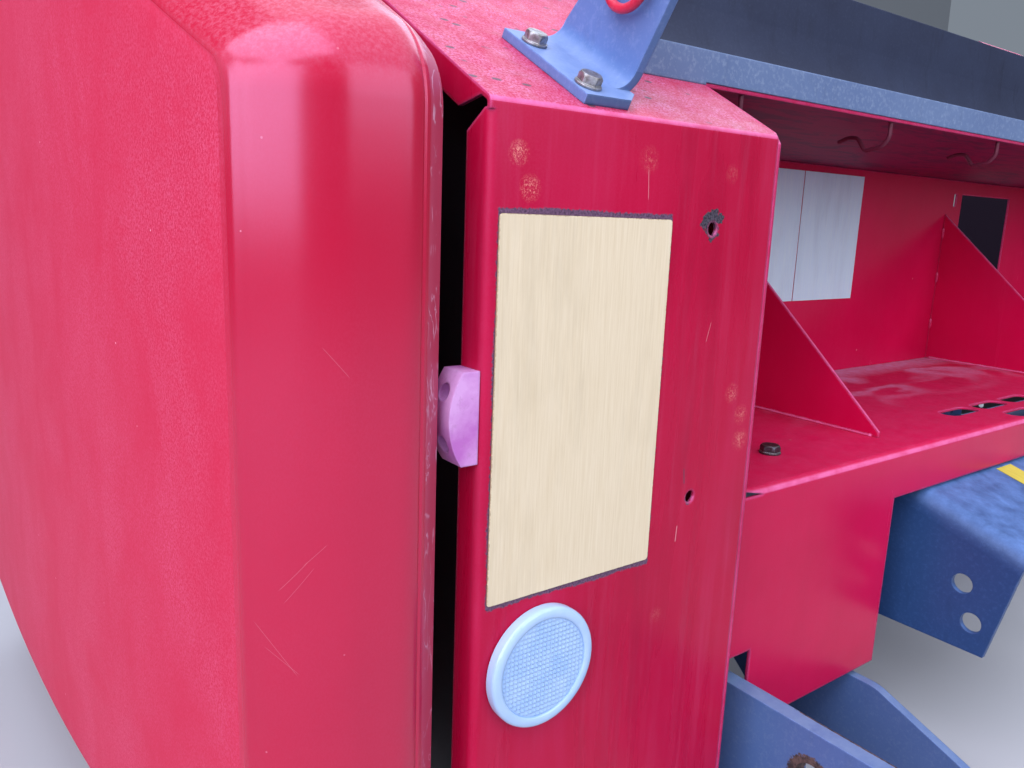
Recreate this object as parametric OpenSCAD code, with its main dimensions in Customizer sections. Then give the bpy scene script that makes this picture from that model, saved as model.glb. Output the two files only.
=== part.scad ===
// Front section of a round baler: the twine and net box with its two corner housings,
// the hinged side covers outside them and the front frame that carries it all.
// Lengths are in millimetres. Sizes are first laid out from the outer edge of the left
// housing (x), its front face (y) and the shelf's front edge (z); placed() then moves
// everything to the chassis flange, which is the origin. Left is the viewer's left.

/* [Whole section] */
// Half of the distance over both housings
half_span = 1180; // [1000:10:1300]
// Thickness of the bent red sheet
sheet = 3; // [2:0.5:4]
// Gap left where one piece seats on another
seat = 0.2; // [0.1:0.05:0.4]

/* [Corner housing] */
// Width of the housing's front face
housing_w = 245; // [200:5:300]
// Height of the front face above the shelf's edge
housing_top = 278; // [240:2:320]
// How far the front face reaches below the shelf's edge
housing_drop = 330; // [280:5:380]
// Depth of the return flange beside the cover
flange_d = 22; // [15:1:30]
// Outer radius of the bends
bend_r = 5; // [4:0.5:8]
// Slope of the roof sheet in degrees
roof_slope = 29.6; // [20:0.2:35]
// How far back the roof sheet reaches
roof_run = 780; // [700:10:900]
// Depth of the roof's folded side edge
roof_flange = 20; // [12:1:30]
// Where that edge starts behind the front face
roof_flange_y = 7; // [6:1:12]
// How far back its front corner is cut
roof_flange_cut = 24; // [10:1:30]
// Height of the upper small hole in the front face
hole_up_z = 214; // [180:2:240]
// Height of the lower small hole in the front face
hole_low_z = 28; // [0:2:60]
// Distance of the small holes from the outer edge
hole_x = 181; // [150:1:200]
// Diameter of the small holes
hole_d = 9; // [6:0.5:12]

/* [Side plate] */
// Distance of the side plate from the housing's outer edge
plate_x = 30; // [24:1:40]
// Thickness of the side plate
plate_t = 6; // [4:1:10]
// Where the side plate starts behind the front face
plate_y = 45; // [40:1:60]

/* [Side cover] */
// Gap between the cover's rim and the housing
cover_gap = 25.5; // [20:0.5:30]
// Where the cover's front rim lies behind the front face
cover_y = 4; // [0:1:10]
// How far the cover reaches below the shelf's edge
cover_drop = 230; // [200:5:300]
// Height of the cover's top rim over the roof sheet
cover_rise = 11.5; // [8:0.5:20]
// Thickness of the moulded shell
cover_t = 4; // [3:0.5:6]
// Width of the rim turned in behind the edge
cover_rim = 30; // [20:1:36]
// Depth of the cover at its front crease
cover_d0 = 127; // [110:1:140]
// Extra depth that the bulged side gains towards the back
cover_bulge = 80; // [40:2:100]
// Length over which the side bulges
bulge_run = 280; // [200:10:400]

/* [Cover hinges] */
// Distance of the hinge axis from the housing's outer edge
hinge_out = 12; // [10:0.5:14]
// Distance of the hinge axis behind the cover's rear rim
hinge_back = 20; // [18:1:30]
// Height of the lower hinge
hinge_low_z = -60; // [-120:5:0]
// Height of the upper hinge
hinge_up_z = 420; // [300:10:500]
// Diameter of the hinge pins
hinge_pin_d = 12; // [8:1:16]
// Diameter of the knuckles
knuckle_d = 22; // [18:1:24]
// Length of the knuckles
knuckle_l = 40; // [30:2:60]
// Running clearance of pins in their bores
pin_play = 0.2; // [0.1:0.05:0.3]

/* [Shelf and back wall] */
// How far the apron lies behind the housing's front face
apron_y = 37; // [30:1:45]
// Distance of the back wall behind the housing's front face
wall_y = 342; // [300:2:380]
// Height of the back wall
wall_h = 304; // [280:2:330]
// Depth of the apron along the middle
apron_h = 50; // [40:1:70]
// Depth of the apron's end parts
apron_deep = 232; // [180:2:260]
// Where the deep end part stops, from the housing's outer edge
apron_end_x = 540; // [460:5:600]
// Depth of the apron beside the housing
apron_notch_h = 153; // [120:1:170]
// Where the lower corner notch stops
apron_notch_x = 324; // [300:1:340]
// Where the pointed relief slot in the fold ends
relief_x = 322; // [300:1:340]
// Depth of the relief slot's lower edge below the shelf's top
relief_h = 6.5; // [5:0.5:10]
// Rise of its upper edge towards the housing
relief_rise = 0.2; // [0.1:0.02:0.3]
// Length of the drain slots
slot_l = 70; // [50:1:90]
// Width of the drain slots
slot_w = 24; // [16:1:30]
// Distance between drain slots in a row
slot_pitch = 80; // [72:1:100]
// Centre of the first drain slot
slot_x = 787; // [700:1:860]
// Distance of the first row behind the front face
slot_y = 97; // [80:1:120]
// How far the second row is set towards the middle
slot_row_x = 78; // [60:1:90]
// How far the second row is set forward
slot_row_y = 42; // [36:1:50]
// Distance of the shelf's bolt from the housing's outer edge
shelf_bolt_x = 412; // [390:1:440]
// Distance of the shelf's bolt behind the front face
shelf_bolt_y = 100; // [80:1:130]
// Diameter of the shelf's bolt
shelf_bolt_d = 10; // [8:1:12]

/* [Window] */
// Distance of the window from the housing's outer edge
window_x = 1230; // [1200:5:1260]
// Width of the window
window_w = 182; // [140:2:220]
// Height of the window's lower edge over the shelf
window_z = 131; // [100:1:160]
// Height of the window
window_h = 150; // [100:2:160]

/* [Gussets] */
// Distance of the side gussets from the housing's outer edge
gusset_x = 567; // [500:1:640]
// Height of the gussets at the back wall
gusset_h = 247; // [200:1:270]
// Where the gussets' toes lie behind the front face
gusset_y = 77; // [60:1:100]

/* [Net tray and rail] */
// Where the rail's front face lies behind the housing's front face
rail_y = 72; // [60:1:90]
// Height of the rail's lower edge over the shelf
rail_z = 321; // [310:1:330]
// Height of the rail's front face
rail_h = 23; // [16:1:30]
// Thickness of the rail
rail_t = 5; // [3:0.5:8]
// Left end of the rail from the housing's outer edge
rail_x = 140; // [134:1:170]
// Radius of the tray's cradle
tray_r = 140; // [120:5:160]
// Height of the tray's back over its floor
tray_h = 200; // [180:5:260]
// Height of the tray's floor over the rail's lower edge
tray_lift = 5; // [4:0.5:8]

/* [Wire hooks] */
// Thickness of the wire
wire_d = 4; // [3:0.5:6]
// Distance of the first hook from the housing's outer edge
hook_x = 293; // [280:1:340]
// Where the hooks hang behind the front face
hook_y = 77; // [76:1:100]
// How far the hooks reach back
hook_l = 54; // [40:1:70]
// How far the hooks hang down
hook_h = 25; // [16:1:26]

/* [Roll bracket] */
// Where the bracket's bend lies from the housing's outer edge
bracket_x = 113; // [108:1:118]
// Width of the bracket's foot
foot_w = 44.5; // [40:0.5:60]
// Thickness of the bracket
bracket_t = 6; // [4:0.5:8]
// Where the foot starts up the roof from the front fold
foot_u = 7; // [6:1:12]
// Length of the foot along the slope
foot_l = 96; // [90:2:120]
// Height of the upright square to the roof
upright_h = 165; // [140:5:200]
// Width of the upright at its top
upright_top = 44; // [36:1:60]
// How far the upright leans forward at its top
upright_lean = 8; // [0:1:12]
// Inner radius of the bracket's bend
bracket_bend = 12; // [6:1:14]
// Distance of the bolts from the bend
bolt_in = 34.5; // [32:0.5:36]
// Distance from the foot's start to the lower bolt
bolt_u = 14; // [12:1:18]
// Distance between the bolts
bolt_pitch = 61; // [50:1:64]
// Width across flats of the bolt heads
bolt_af = 13; // [10:1:17]
// Thickness of the red ring's wire
ring_wire = 6; // [4:0.5:8]
// Radius of the red ring to the middle of its wire
ring_r = 17; // [14:0.5:24]
// Diameter of the lock pin
lock_pin_d = 10; // [8:0.5:14]
// Distance of the lock pin from the foot's start, up the slope
lock_u = 45; // [40:1:56]
// Height of the lock pin over the roof
lock_w = 78; // [60:1:90]

/* [Small parts] */
// Diameter of the reflector
reflector_d = 80; // [60:1:100]
// Thickness of the reflector
reflector_t = 8; // [6:0.5:12]
// Distance of the reflector's centre from the housing's outer edge
reflector_x = 49; // [45:1:60]
// Depth of the reflector's centre below the shelf's edge
reflector_drop = 59; // [55:1:90]
// Distance of the sign plate from the housing's outer edge
sign_x = 7.5; // [6:0.5:20]
// Width of the sign plate
sign_w = 134; // [100:1:160]
// Height of the sign plate
sign_h = 229; // [180:1:240]
// Height of the sign plate's lower edge over the shelf's edge
sign_z = -10; // [-14:1:20]
// Distance of the info sheets from the housing's outer edge
info_x = 622; // [600:2:660]
// Width of an info sheet
info_w = 148; // [100:2:150]
// Height of an info sheet
info_h = 182; // [140:2:190]
// Height of the info sheets' lower edge over the shelf
info_z = 112; // [90:2:115]
// Thickness of the sign plates and info sheets
sign_t = 0.8; // [0.5:0.1:2]
// Height of the buffer block
buffer_h = 54; // [40:1:70]
// How far the buffer block stands off its flange
buffer_out = 19.5; // [14:0.5:20]
// Depth of the buffer block
buffer_d = 20; // [14:1:20]
// Height of the buffer block's lower end
buffer_z = 79; // [60:1:100]

/* [Front frame] */
// Where the cross beam starts behind the front face
beam_y = 255; // [230:5:280]
// Side of the square cross beam
beam_s = 100; // [80:5:120]
// Depth of the beam's top below the shelf's edge
beam_drop = 130; // [120:5:160]
// Wall of the cross beam
beam_t = 6; // [4:0.5:10]
// Width of the chassis flange
chassis_w = 400; // [380:5:500]
// Height of the chassis flange
chassis_h = 180; // [170:5:220]
// Thickness of the chassis flange
chassis_t = 12; // [8:1:20]
// Distance between the flange's holes across
chassis_px = 320; // [280:5:340]
// Distance between the flange's holes upwards
chassis_pz = 130; // [128:1:140]
// Diameter of the flange's holes
chassis_hole = 18; // [14:1:20]
// How far the lugs reach in front of the housing's front face
lug_reach = 160; // [120:5:180]
// Distance of the outer lug from the housing's outer edge
lug_x = 297; // [290:1:300]
// Thickness of the outer lug
lug_t = 16; // [12:1:20]
// Depth of the outer lug's top edge below the shelf's edge
lug_top = 176; // [165:1:185]
// Diameter of the pin hole in the outer lug
lug_pin_d = 29; // [20:1:32]
// Distance of that hole in front of the housing's front face
lug_pin_out = 50; // [40:1:60]
// Depth of that hole below the shelf's edge
lug_pin_drop = 219; // [210:1:230]
// Distance of the rounded lug from the housing's outer edge
rounded_x = 505; // [480:5:520]
// Thickness of the rounded lug
rounded_t = 10; // [8:1:12]
// Radius of the rounded lug's top
rounded_r = 46; // [30:1:60]
// Where that radius has its centre behind the front face
rounded_y = 22; // [10:1:30]
// Gap between the apron's lower edge and what passes under it
under_gap = 7; // [5:0.5:12]
// Distance of the box bracket from the housing's outer edge
box_x = 600; // [560:5:640]
// Width of the box bracket
box_w = 300; // [180:5:340]
// Wall of the box bracket
box_t = 6; // [4:0.5:8]
// Outer radius of the box bracket's bends
box_r = 22; // [12:1:30]
// Slope of the box bracket's top in degrees
box_slope = 17.5; // [10:0.5:22]
// How far the box bracket's top reaches in front of the front face
box_nose = 64; // [50:1:80]
// Depth of the box bracket's lower edge below the shelf's edge
box_low = 208; // [200:2:225]
// Gap between the box bracket's top and the apron's lower edge
box_gap = 3.2; // [2:0.2:6]
// Diameter of the box bracket's holes
box_hole = 21; // [16:1:24]
// Distance of the upper hole in front of the front face
box_hole_out = 15; // [5:1:25]
// Depth of the upper hole below the shelf's edge
box_hole_drop = 138; // [125:1:150]
// Distance of the lower hole in front of the upper one
box_hole_dy = 14; // [0:1:20]
// Distance of the lower hole below the upper one
box_hole_dz = 38; // [30:1:45]

/* [Hidden] */
$fn = 48;

// The chassis flange's rear face is the origin.
chassis_y = beam_y + beam_s + seat + chassis_t;
chassis_z = -beam_drop - beam_s / 2;

// The roof sheet's upper face in a side view, and square distances to it.
function roof_z(y) = housing_top + y * tan(roof_slope);
sheet_v = sheet / cos(roof_slope);
seat_v = seat / cos(roof_slope);

// The hinge axis.
hinge_x = -hinge_out;
hinge_y = roof_run + hinge_back;
hinge_heights = [hinge_low_z, hinge_up_z];

// Moves a piece from the layout corner to the chassis flange.
module placed() {
    translate([-half_span, -chassis_y, -chassis_z]) children();
}

// The same piece on the other side of the middle.
module other_side() {
    translate([2 * half_span, 0, 0]) mirror([1, 0, 0]) children();
}

module both_sides() {
    children();
    other_side() children();
}

// Extrudes a side view, drawn as [y, z], by w along x from x0.
module side_view(x0, w) {
    translate([x0, 0, 0]) rotate([90, 0, 90]) linear_extrude(w) children();
}

// Extrudes a front view, drawn as [x, z], by d along y from y0.
module front_view(y0, d) {
    translate([0, y0 + d, 0]) rotate([90, 0, 0]) linear_extrude(d) children();
}

// Stands a piece on the roof: x stays, y runs up the slope, z square to it.
module on_roof() {
    translate([0, 0, housing_top]) rotate([roof_slope, 0, 0]) children();
}

// A wire of eight sides along a bent path in a side view, mitred at its bends.
module bent_wire(x, path, d) {
    sides = 8;
    last = len(path) - 1;
    function unit(v) = v / norm(v);
    function way(i) = unit(path[i + 1] - path[i]);
    rings = [for (i = [0:last]) let (after = way(min(i, last - 1)), mid = unit(way(max(i - 1, 0)) + after),
            reach = d / 2 / (mid * after))
        for (k = [0:sides - 1]) let (a = (k + 0.5) * 360 / sides)
            [x + d / 2 * sin(a), path[i].x - mid.y * reach * cos(a), path[i].y + mid.x * reach * cos(a)]];
    walls = [for (i = [0:last - 1], k = [0:sides - 1]) let (n = (k + 1) % sides, low = i * sides)
        [low + k, low + sides + k, low + sides + n, low + n]];
    ends = [[for (k = [0:sides - 1]) k], [for (k = [sides - 1:-1:0]) last * sides + k]];
    polyhedron(rings, concat(walls, ends));
}

module hex_head(af, h) {
    cylinder(h = h, r = af / 2 / cos(30), $fn = 6);
}

// The bent sheet: front face, rolled fold and roof in one side view.
module fold_profile() {
    r_in = bend_r - sheet;
    turn = 90 - roof_slope;
    tangent = bend_r * tan(turn / 2);
    fold_z = housing_top - tangent;
    steps = 6;
    function bend(r, a) = [bend_r + r * cos(a), fold_z + r * sin(a)];
    arc = [for (i = [0:steps]) bend(bend_r, 180 - turn * i / steps)];
    arc_in = [for (i = [steps:-1:0]) bend(r_in, 180 - turn * i / steps)];
    polygon(concat([[0, -housing_drop]], arc, [[roof_run, roof_z(roof_run)],
        [roof_run, roof_z(roof_run) - sheet_v]], arc_in, [[sheet, -housing_drop]]));
}

// One corner housing: front face, return flange, roof and the roof's folded edge.
module housing() {
    top_cut = 16;
    flange_top = housing_top - top_cut;
    corner = roof_flange_y + roof_flange_cut;
    difference() {
        union() {
            side_view(0, housing_w - sheet - seat) fold_profile();
            side_view(0, sheet) polygon([[0, -housing_drop], [flange_d, -housing_drop],
                [flange_d, flange_top], [bend_r, housing_top - bend_r], [0, housing_top - bend_r]]);
            side_view(0, sheet) polygon([[roof_flange_y, roof_z(roof_flange_y) - sheet_v / 2],
                [roof_run, roof_z(roof_run) - sheet_v / 2], [roof_run, roof_z(roof_run) - roof_flange],
                [corner, roof_z(corner) - roof_flange]]);
        }
        front_fold_rounding();
        for (z = [hole_low_z, hole_up_z])
            translate([hole_x, -1, z]) rotate([-90, 0, 0]) cylinder(h = sheet + 2, d = hole_d);
    }
}

// Cuts the outer rounding of the vertical fold.
module front_fold_rounding() {
    translate([0, 0, -housing_drop - 1]) linear_extrude(housing_drop + housing_top - bend_r) difference() {
        translate([-1, -1]) square(bend_r + 1);
        translate([bend_r, bend_r]) circle(r = bend_r);
    }
}

// The wall between the housing and the net box, with a short leg beside the front face.
module inner_wall() {
    over_beam = 5;
    side_view(housing_w - sheet, sheet) polygon([[0, -housing_drop], [flange_d, -housing_drop],
        [flange_d, over_beam - beam_drop], [roof_run, over_beam - beam_drop],
        [roof_run, roof_z(roof_run)], [bend_r, roof_z(bend_r)], [0, housing_top - bend_r]]);
}

// The dark side plate that carries the housing, the hinges and the beam.
module side_plate() {
    top = sheet_v + seat_v;
    hole_in = 60;
    hole_up = 40;
    difference() {
        side_view(plate_x, plate_t) polygon([[plate_y, -housing_drop], [roof_run, -housing_drop],
            [roof_run, roof_z(roof_run) - top], [plate_y, roof_z(plate_y) - top]]);
        for (y = [plate_y + hole_in, roof_run - hole_in])
            translate([plate_x - 1, y, hole_up - housing_drop]) rotate([0, 90, 0])
                cylinder(h = plate_t + 2, d = chassis_hole);
    }
}

// Cover outline: four round corners, given as centre, radius, first and last angle.
top_tilt = 90 + roof_slope;
cover_y1 = roof_run;
function rim_z(y) = roof_z(y) + cover_rise;
front_r = 40;
rear_r = 60;
low_front_r = 90;
front_c = [cover_y + front_r, rim_z(cover_y + front_r) - front_r / cos(roof_slope)];
rear_c = [cover_y1 - rear_r, rim_z(cover_y1 - rear_r) - rear_r / cos(roof_slope)];
corners = [
    [front_c, front_r, 180, top_tilt],
    [rear_c, rear_r, top_tilt, 0],
    [[cover_y1 - rear_r, rear_r - cover_drop], rear_r, 0, -90],
    [[cover_y + low_front_r, low_front_r - cover_drop], low_front_r, -90, -180]];
arc_steps = 5;
edge_steps = 4;
function arc_pts(k, o) = let (c = corners[k], r = max(c[1] - o, 0.6))
    [for (i = [0:arc_steps]) let (a = c[2] + (c[3] - c[2]) * i / arc_steps)
        [c[0].x + r * cos(a), c[0].y + r * sin(a)]];
function outline(o) = [for (k = [0:3]) let (a = arc_pts(k, o), b = arc_pts((k + 1) % 4, o),
    p = a[arc_steps], q = b[0]) each concat(a, [for (i = [1:edge_steps - 1]) p + (q - p) * i / edge_steps])];

// Depth of the bulged side at a place in the side view.
function side_depth(p) = cover_d0 + cover_bulge * (1 - exp(-max(p.x - 20, 0) / bulge_run));
cover_mid = [(cover_y + cover_y1) / 2, 120];

// Section across the rim as [inward distance, share of the side depth].
section = [[cover_rim, 0], [0, 0], [-9, 0.1], [-12, 0.28], [-9, 0.52], [0, 0.76], [14, 0.92], [34, 1]];
dome = [0.25, 0.55, 0.8];
function ring_out(s) = [for (p = outline(s[0])) let (d = side_depth(p) - cover_gap)
    [-cover_gap - d * s[1], p.x, p.y]];
function dome_ring(u, t) = [for (p = outline(section[7][0] + t)) let (q = p + (cover_mid - p) * u)
    [-side_depth(q) + t, q.x, q.y]];
// The inner face repeats the section one wall further in.
section_in = [[cover_rim, 0], [cover_t, 0], [-5, 0.12], [-8, 0.28], [-5, 0.5], [4, 0.73], [17, 0.88], [36, 1]];
function ring_in(s, k) = [for (p = outline(s[0])) let (d = side_depth(p) - cover_gap - 2 * cover_t)
    [-cover_gap - cover_t - d * s[1], p.x, p.y]];
ring_n = 4 * (arc_steps + edge_steps);
cover_rings = concat([for (s = section) ring_out(s)], [for (u = dome) dome_ring(u, 0)],
    [for (i = [len(dome) - 1:-1:0]) dome_ring(dome[i], cover_t)],
    [for (i = [len(section_in) - 1:-1:0]) ring_in(section_in[i], i)]);
ring_m = len(cover_rings);
mid_out = [-side_depth(cover_mid), cover_mid.x, cover_mid.y];
cover_pts = concat([for (r = cover_rings) each r], [mid_out, mid_out + [cover_t, 0, 0]]);
half_m = len(section) + len(dome);
function quad(a, b, c, d) = [[a, b, c], [a, c, d]];
cover_faces = concat(
    [for (j = [0:ring_m - 1]) if (j != half_m - 1) for (i = [0:ring_n - 1])
        let (n = (i + 1) % ring_n, k = (j + 1) % ring_m)
        each quad(j * ring_n + i, j * ring_n + n, k * ring_n + n, k * ring_n + i)],
    [for (i = [0:ring_n - 1]) let (n = (i + 1) % ring_n, last = (half_m - 1) * ring_n)
        [last + i, last + n, ring_m * ring_n]],
    [for (i = [0:ring_n - 1]) let (n = (i + 1) % ring_n, first = half_m * ring_n)
        [first + n, first + i, ring_m * ring_n + 1]]);

module side_cover() {
    polyhedron(cover_pts, cover_faces, convexity = 6);
}

// Straps on the cover's rear rim with the knuckles that turn on the pins.
module cover_straps() {
    strap_t = 5;
    strap_l = 50;
    for (z = hinge_heights) difference() {
        union() {
            translate([-cover_gap + seat, cover_y1 - strap_l, z - knuckle_l / 2])
                cube([strap_t, strap_l + hinge_back, knuckle_l]);
            translate([hinge_x, hinge_y, z - knuckle_l / 2]) cylinder(h = knuckle_l, d = knuckle_d);
        }
        translate([hinge_x, hinge_y, z - knuckle_l / 2 - 1])
            cylinder(h = knuckle_l + 2, d = hinge_pin_d + pin_play);
    }
}

// Fixed forks with their pins, on the side plate.
module hinge_brackets() {
    pad_t = 6;
    pad_l = 70;
    fork_t = 6;
    side_gap = 1;
    pin_past = 3;
    fork_z = knuckle_l / 2 + side_gap;
    top_z = fork_z + fork_t;
    for (z = hinge_heights) {
        translate([plate_x - seat - pad_t, roof_run - pad_l, z - top_z])
            cube([pad_t, pad_l + hinge_back + knuckle_d / 2, 2 * top_z]);
        for (low = [-top_z, fork_z]) translate([0, 0, z + low]) linear_extrude(fork_t) {
            translate([hinge_x, hinge_y]) circle(d = knuckle_d);
            translate([hinge_x, hinge_y - knuckle_d / 2])
                square([plate_x - seat - pad_t / 2 - hinge_x, knuckle_d]);
        }
        translate([hinge_x, hinge_y, z - top_z - pin_past])
            cylinder(h = 2 * (top_z + pin_past), d = hinge_pin_d);
    }
}

// Shelf floor, rolled fold and apron in one bent sheet, with its slots and notches.
module shelf() {
    left = housing_w + seat;
    long = 2 * (half_span - left);
    r = bend_r + 2;
    back = wall_y - seat;
    difference() {
        side_view(left, long) difference() {
            union() {
                translate([apron_y + r, -r]) circle(r = r);
                translate([apron_y + r, -sheet]) square([back - apron_y - r, sheet]);
                translate([apron_y, -apron_deep]) square([sheet, apron_deep - r]);
            }
            translate([apron_y + r, -r]) circle(r = r - sheet);
            translate([apron_y + sheet, -apron_deep]) square([2 * r, apron_deep - r]);
            translate([apron_y + r, -2 * r]) square([2 * r, 2 * r - sheet]);
        }
        translate([apron_end_x, apron_y - 1, -apron_deep - 1])
            cube([2 * (half_span - apron_end_x), sheet + 2, apron_deep - apron_h + 1]);
        both_sides() {
            translate([left - 1, apron_y - 1, -apron_deep - 1])
                cube([apron_notch_x - left + 1, sheet + 2, apron_deep - apron_notch_h + 1]);
            front_view(apron_y - 1, sheet + 2 + r / 2) polygon([[left - 1, -relief_h],
                [relief_x, -relief_h], [left - 1, (relief_x - left + 1) * relief_rise - relief_h]]);
            for (i = [0:2]) for (row = [0, 1])
                drain_slot(slot_x + i * slot_pitch + row * slot_row_x, slot_y - row * slot_row_y);
            translate([shelf_bolt_x, shelf_bolt_y, -sheet - 1])
                cylinder(h = sheet + 2, d = shelf_bolt_d + pin_play);
        }
    }
}

module drain_slot(x, y) {
    translate([x, y, -sheet - 1]) linear_extrude(sheet + 2) {
        square([slot_l - slot_w, slot_w], center = true);
        for (s = [-1, 1]) translate([s * (slot_l - slot_w) / 2, 0]) circle(d = slot_w);
    }
}

// Back wall of the net box with its window and the small slot beside it.
module back_wall() {
    left = housing_w + seat;
    latch = [9, 20];
    latch_off = 27;
    front_view(wall_y, sheet) difference() {
        translate([left, -apron_h]) square([2 * (half_span - left), wall_h + apron_h]);
        translate([window_x, window_z]) square([window_w, window_h]);
        translate([window_x - latch_off, window_z + window_h - latch.y]) square(latch);
    }
}

// Sheet over the net box, from under the rail back to the wall's top edge.
module recess_roof() {
    left = housing_w + seat;
    front_z = rail_z - seat;
    side_view(left, 2 * (half_span - left)) polygon([[rail_y + 1, front_z - sheet], [rail_y + 1, front_z],
        [wall_y + sheet, wall_h + seat + sheet], [wall_y + sheet, wall_h + seat]]);
}

// The tray in which the roll lies: floor, cradle and back.
module net_tray() {
    left = housing_w + seat;
    z0 = rail_z + tray_lift;
    y_arc = wall_y - tray_r;
    front = rail_y + rail_t + seat;
    side_view(left, 2 * (half_span - left)) difference() {
        union() {
            translate([front, z0]) square([y_arc - front, sheet]);
            translate([wall_y - sheet, z0 + tray_r]) square([sheet, tray_h - tray_r]);
            intersection() {
                translate([y_arc, z0 + tray_r]) circle(r = tray_r, $fn = 96);
                translate([y_arc, z0]) square(tray_r);
            }
        }
        intersection() {
            translate([y_arc, z0 + tray_r]) circle(r = tray_r - sheet, $fn = 96);
            translate([y_arc - 1, z0]) square(tray_r + 1);
        }
    }
}

// Grey angle along the tray's front edge, lying on both roofs at its ends.
module front_rail() {
    inner = 2 * (half_span - housing_w - seat);
    leg = 26;
    side_view(housing_w + seat, inner) polygon([[rail_y, rail_z], [rail_y, rail_z + rail_h],
        [rail_y + rail_t, rail_z + rail_h], [rail_y + rail_t, rail_z + rail_t],
        [rail_y + leg, rail_z + tray_lift - 0.7], [rail_y + leg, rail_z]]);
    both_sides() side_view(rail_x, housing_w + seat - rail_x)
        polygon([[rail_y, roof_z(rail_y) + seat_v], [rail_y, rail_z + rail_h],
            [rail_y + rail_t, rail_z + rail_h], [rail_y + rail_t, roof_z(rail_y + rail_t) + seat_v]]);
}

module gusset(x) {
    toe = 6;
    back = wall_y - seat;
    side_view(x, sheet) polygon([[gusset_y, seat], [back, seat], [back, gusset_h], [gusset_y, toe]]);
}

// An even row of wire hooks that hang from the front edge of the sheet over the net box
// and reach back.
module wire_hooks() {
    hooks_a_side = 4;
    fall = (rail_z - wall_h) / (wall_y - rail_y);
    top_z = rail_z - (hook_y + wire_d / 2 - rail_y) * fall - sheet - 2 * seat;
    shape = [[0, 0], [0, 0.5], [0.12, 0.86], [0.44, 1], [0.6, 0.5], [0.78, 0.46], [1, 0.64]];
    path = [for (s = shape) [hook_y + s[0] * hook_l, top_z - s[1] * hook_h]];
    for (i = [0:2 * hooks_a_side])
        bent_wire(hook_x + i * (half_span - hook_x) / hooks_a_side, path, wire_d);
}

// Bent bracket that holds one end of the roll, in roof directions.
module roll_bracket() {
    cut = 16;
    back_u = foot_u + foot_l;
    front_u = foot_u + cut;
    top_u = front_u - upright_lean;
    top_w = upright_h - upright_top / 2;
    x1 = bracket_x + bracket_t;
    bend_out = bracket_bend + bracket_t;
    on_roof() translate([0, 0, seat]) difference() {
        union() {
            linear_extrude(bracket_t) polygon([[bracket_x - foot_w, foot_u], [x1 - cut, foot_u],
                [x1, front_u], [x1, back_u], [bracket_x - foot_w, back_u]]);
            side_view(bracket_x, bracket_t) {
                polygon([[front_u, 0], [front_u, bend_out], [top_u, top_w], [top_u + upright_top, top_w],
                    [back_u, bend_out], [back_u, 0]]);
                translate([top_u + upright_top / 2, top_w]) circle(d = upright_top);
            }
            front_view(front_u, back_u - front_u) translate([bracket_x - bracket_bend, bracket_t])
                difference() {
                    square(bracket_bend);
                    translate([0, bracket_bend]) circle(r = bracket_bend);
                }
        }
        front_view(foot_u - 1, foot_l + 2) translate([x1 - bend_out, -1]) difference() {
            square(bend_out + 1);
            translate([0, bend_out + 1]) circle(r = bend_out);
        }
        for (u = [bolt_u, bolt_u + bolt_pitch])
            translate([bracket_x - bolt_in, foot_u + u, -1]) cylinder(h = bracket_t + 2, d = m8 + 1);
        translate([bracket_x - 1, foot_u + lock_u, lock_w]) rotate([0, 90, 0])
            cylinder(h = bracket_t + 2, d = lock_pin_d + pin_play);
        translate([bracket_x - 1, top_u + upright_top / 2, top_w]) rotate([0, 90, 0])
            cylinder(h = bracket_t + 2, d = roll_bore);
    }
}

m8 = 8;
roll_bore = 20;

// Hexagon bolts and washers on the bracket's foot.
module bracket_bolts() {
    washer_t = 1.6;
    washer_rim = 2;
    head_h = 5.3;
    both_sides() on_roof() for (u = [bolt_u, bolt_u + bolt_pitch])
        translate([bracket_x - bolt_in, foot_u + u, bracket_t + 2 * seat]) {
            cylinder(h = washer_t, d = bolt_af + 2 * washer_rim);
            translate([0, 0, washer_t]) rotate(15) hex_head(bolt_af, head_h);
            translate([0, 0, -bracket_t - seat]) cylinder(h = bracket_t + washer_t, d = m8);
        }
}

// Lock pin through the upright with its red pull ring.
module lock_pin() {
    collar_t = 4;
    collar_rim = 4;
    ring_off = collar_t + 4;
    head = ring_off + 6;
    tip = 8;
    on_roof() translate([bracket_x, foot_u + lock_u, lock_w + seat]) {
        translate([-collar_t - seat, 0, 0]) rotate([0, 90, 0])
            cylinder(h = collar_t, d = lock_pin_d + 2 * collar_rim);
        translate([-head, 0, 0]) rotate([0, 90, 0]) cylinder(h = head + bracket_t + tip, d = lock_pin_d);
        translate([-ring_off, 0, -ring_r]) rotate([0, 90, 0])
            rotate_extrude() translate([ring_r, 0]) circle(d = ring_wire);
    }
}

// Bolts through the shelf floor.
module shelf_bolts() {
    washer_t = 2;
    washer_d = 21;
    flats = 17;
    head_h = 6.4;
    past = 14;
    both_sides() translate([shelf_bolt_x, shelf_bolt_y, seat]) {
        cylinder(h = washer_t, d = washer_d);
        translate([0, 0, washer_t]) hex_head(flats, head_h);
        translate([0, 0, -sheet - past]) cylinder(h = sheet + past + washer_t, d = shelf_bolt_d);
    }
}

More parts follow.
